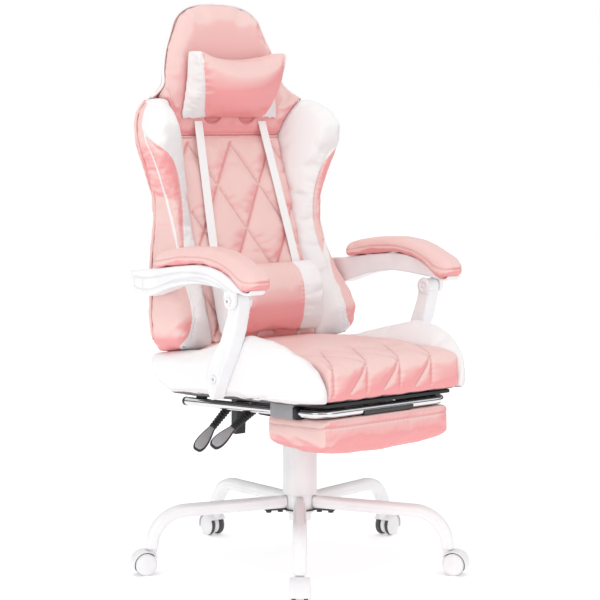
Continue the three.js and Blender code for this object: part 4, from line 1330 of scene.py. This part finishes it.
def add_footrest_frame():
    line = rail_line()
    tube = add("footrest_rail", sweep(line, RAIL_R, 40), "chrome", "footrest", "chrome", "footrest_frame")
    bevel(tube, 0.6)
    for name, end in (("right", line[0]), ("left", line[-1])):
        cap = [(0.01, 0.2), (7.8, 0.4), (9.4, 1.2), (9.9, 3.0), (9.9, 9.0), (9.6, 9.6), (9.5, 9.6)]
        points, faces = lathe([(r, -h) for r, h in cap], 32, "y")
        add(f"rail_cap_{name}", (points + end + [0, 0.6, 0], turned_over(faces)), "black_plastic",
            "footrest", "black_plastic")


def add_rail_collars():
    """The dark moulded rings at the front end of the grey sleeves."""
    for name, sign in SIDES.items():
        y = -205.0
        section = rounded_box(26.6, 27.4, 4.0)
        rings = [[(sign * RAIL_X + u * k, y + dy, rail_z(y) + w * k - 0.6) for u, w in section]
                 for k, dy in ((0.94, 1.2), (1.0, 0.2), (1.0, -9.2), (0.94, -10.2))]
        add(f"rail_collar_{name}", loft(rings), "black_plastic", "seat", "black_plastic")


def add_rail_hangers():
    """Pressed clips that carry the rails' rear ends from the inner side."""
    for name, sign in SIDES.items():
        hook = [(166, 396), (178, 396), (178, 377), (176, 371), (172, 368), (169, 371), (167, 377)]
        rings = [[(sign * (171 + (x - 171) * k), y, z) for x, z in hook]
                 for k, y in ((0.97, 121), (1.0, 122.5), (1.0, 147.5), (0.97, 149))]
        points, faces = loft(rings)
        geometry = points, faces if sign < 0 else turned_over(faces)
        bevel(add(f"rail_hanger_{name}", geometry, "black_plastic", "seat", "black_plastic",
                  f"rail_guide_{name}"), 0.6)


# ---- The arms -------------------------------------------------------------------------------
UPPER_PIVOT, LOWER_PIVOT = (-130.0, 620.0), (-60.0, 449.0)
ARM_OUTER, POST_OUTER, POST_INNER = 304.0, 291.0, 257.6
ARM_RIDGES = [
    [(210, 650), (150, 652), (80, 664), (20, 672), (-50, 671), (-95, 660), (-130, 645), (-152, 637)],
    [(196, 626), (150, 627), (100, 640), (50, 654), (-10, 662), (-60, 660), (-100, 650), (-122, 641)],
    [(60, 648), (20, 655), (-30, 655), (-70, 650), (-100, 641)],
]


def add_arms():
    for name, sign in SIDES.items():
        outer = sign * (ARM_OUTER + 20)
        arm = remodel(f"arm_beam_{name}", f"arm_frame_{name}", "white_plastic", 2.0, 30, 0, True)
        tree = surface(arm)
        lines = [drape(tree, smooth_line([(outer, y, z) for y, z in ridge], 2), (-sign, 0, 0))
                 for ridge in ARM_RIDGES]
        inset = [(207, 652), (176, 650), (172, 624), (204, 630)]
        frame_line = drape(tree, straight_line([(outer, y, z) for y, z in [*inset, inset[0]]], 2),
                           (-sign, 0, 0))
        press(arm, [*lines, frame_line], 2.0, 1.7)
        away, _ = line_field(local(spots(arm)), [*lines, frame_line])
        # Marks the pressed lines, where the plastic paints shade.
        store(arm, "seam", np.exp(-(away / 1.5) ** 2))
        settle(arm, f"arm_{name}", "white_plastic", f"arm_frame_{name}")
        post = remodel(f"arm_upright_{name}", f"arm_post_{name}", "white_plastic", 2.0, 20, 0, True)
        tree = surface(post)
        crease = smooth_line([(outer, y, z) for y, z in ((-72, 425), (-78, 470), (-98, 520), (-116, 560),
                                                         (-124, 594))], 2)
        press(post, [drape(tree, crease, (-sign, 0, 0))], 1.0, 2.2)
        settle(post, f"post_{name}", "white_plastic", f"arm_post_{name}")
        add_boss(name, sign)
        add_inner_disc(name, sign)


def add_cap(name, profile, segments, way, place, body):
    """A round cover turned about a line across the chair, facing right for -1 and left for 1."""
    points, faces = lathe([(r, way * h) for r, h in profile], segments, "x", place)
    geometry = points, faces if way < 0 else turned_over(faces)
    add(name, geometry, "white_plastic", body, "white_plastic")


def add_inner_disc(name, sign):
    """The round moulded cover, with two stepped rings, on the post's inner face."""
    cover = [(0.01, 3.4), (4.0, 3.4), (4.4, 2.4), (9.4, 2.4), (9.8, 3.4), (14.4, 3.4), (15.0, 2.2),
             (18.6, 2.0), (19.6, 1.0), (19.8, -1.0), (0.01, -1.0)]
    add_cap(f"pivot_disc_{name}", cover, 44, -sign, (sign * POST_INNER, *UPPER_PIVOT), f"post_{name}")


def add_boss(name, sign):
    """The moulded cap and socket screw over each arm pivot."""
    for part, (y, z), x, body in (("upper", UPPER_PIVOT, ARM_OUTER + 3.2, f"arm_{name}"),
                                  ("lower", LOWER_PIVOT, POST_OUTER - 0.6, "seat")):
        cap = [(0.01, 0.2), (3.0, 0.2), (3.4, 2.0), (7.4, 2.0), (8.4, 1.2), (8.6, 0.0), (8.6, -3.0),
               (0.01, -3.0)]
        add_cap(f"{part}_cap_{name}", cap, 36, sign, (sign * x, y, z), body)


# ---- Setting ---------------------------------------------------------------------------------
# Each lamp's name, place, aim, diameter and power, in metres and watts.
LAMPS = [("key", (-3.8, -0.6, 1.7), (0, 0, 0.6), 2.4, 13),
         ("overhead", (-0.6, -0.4, 3.8), (0, 0, 0.5), 2.4, 12),
         ("front", (-0.6, -4.2, 1.2), (0, 0, 0.6), 2.6, 10)]
CAMERA_PLACE, CAMERA_LENS = (-2.657, -3.132, 0.984), 110.6
# The camera's heading on the floor, and how far it looks down, in radians.
CAMERA_HEADING, CAMERA_DIP = (0.6485, 0.7612), 0.095


def area_light(name, place, aim, size, energy):
    data = bpy.data.lights.new(name, "AREA")
    data.shape = "DISK"
    data.size = size
    data.energy = energy
    lamp = bpy.data.objects.new(name, data)
    lamp.location = place
    lamp.rotation_euler = (Vector(aim) - Vector(place)).to_track_quat("-Z", "Y").to_euler()
    bpy.context.scene.collection.objects.link(lamp)


def backdrop(tree, steps, strength):
    """A grey sky that changes with height; steps are (upward share of the direction, brightness)."""
    place = tree.nodes.new("ShaderNodeTexCoord")
    height = tree.nodes.new("ShaderNodeSeparateXYZ")
    tree.links.new(place.outputs["Generated"], height.inputs[0])
    ramp = tree.nodes.new("ShaderNodeValToRGB")
    marks = ramp.color_ramp.elements
    while len(marks) < len(steps):
        marks.new(1.0)
    for mark, (position, value) in zip(marks, steps):
        mark.position = position
        mark.color = (value, value, value, 1)
    tree.links.new(height.outputs["Z"], ramp.inputs[0])
    sky = tree.nodes.new("ShaderNodeBackground")
    sky.inputs["Strength"].default_value = strength
    tree.links.new(ramp.outputs["Color"], sky.inputs["Color"])
    return sky.outputs[0]


def mix_shaders(tree, share, first, second):
    node = tree.nodes.new("ShaderNodeMixShader")
    for socket, value in zip(node.inputs, (share, first, second)):
        tree.links.new(value, socket)
    return node.outputs[0]


def build_setting():
    g = Graph("studio_floor")
    tone = g.mix(g.noise(2.0), (0.93, 0.93, 0.93, 1), (0.95, 0.95, 0.95, 1))
    floor = make("floor", [(-9, -9, 0), (9, -9, 0), (9, 9, 0), (-9, 9, 0)], [(0, 1, 2, 3)],
                 g.finish(Base_Color=tone, Roughness=0.9, Emission_Color=(1, 1, 1, 1),
                          Emission_Strength=0.3), is_row=True)
    world = bpy.data.worlds.new("studio")
    bpy.context.scene.world = world
    world.use_nodes = True
    tree = world.node_tree
    tree.nodes.clear()
    soft = backdrop(tree, [(0.0, 0.92), (0.6, 1.0)], 0.90)
    mirror = backdrop(tree, [(0.0, 0.02), (0.12, 0.05), (0.32, 0.85), (1.0, 1.0)], 1.0)
    plain = backdrop(tree, [(0.0, 1.0), (1.0, 1.0)], 1.0)
    rays = tree.nodes.new("ShaderNodeLightPath")
    lit = mix_shaders(tree, rays.outputs["Is Glossy Ray"], soft, mirror)
    out = tree.nodes.new("ShaderNodeOutputWorld")
    tree.links.new(mix_shaders(tree, rays.outputs["Is Camera Ray"], lit, plain), out.inputs["Surface"])

    for lamp in LAMPS:
        area_light(*lamp)
    bpy.context.scene.view_settings.view_transform = "Standard"


def build_camera():
    data = bpy.data.cameras.new("camera")
    data.lens = CAMERA_LENS
    data.sensor_width = 36.0
    data.clip_end = 60.0
    camera = bpy.data.objects.new("camera", data)
    camera.location = CAMERA_PLACE
    level = math.cos(CAMERA_DIP)
    look = Vector((level * CAMERA_HEADING[0], level * CAMERA_HEADING[1], -math.sin(CAMERA_DIP)))
    camera.rotation_euler = look.to_track_quat("-Z", "Y").to_euler()
    bpy.context.scene.collection.objects.link(camera)
    bpy.context.scene.camera = camera


# ---- Everything together -----------------------------------------------------------------------
build_camera()
build_setting()
finish_cad_nodes()
seat_pieces = build_seat()
back_pieces = build_back()
neck_pillow = build_pillow()
small_cushions = build_small_cushions()
swell_all()
finish_seat(*seat_pieces)
finish_back(*back_pieces)
finish_cushions(neck_pillow, *small_cushions)
add_seat_tray()
add_straps()
add_legs()
add_casters()
add_levers()
add_footrest_frame()
add_rail_collars()
add_rail_hangers()
add_arms()
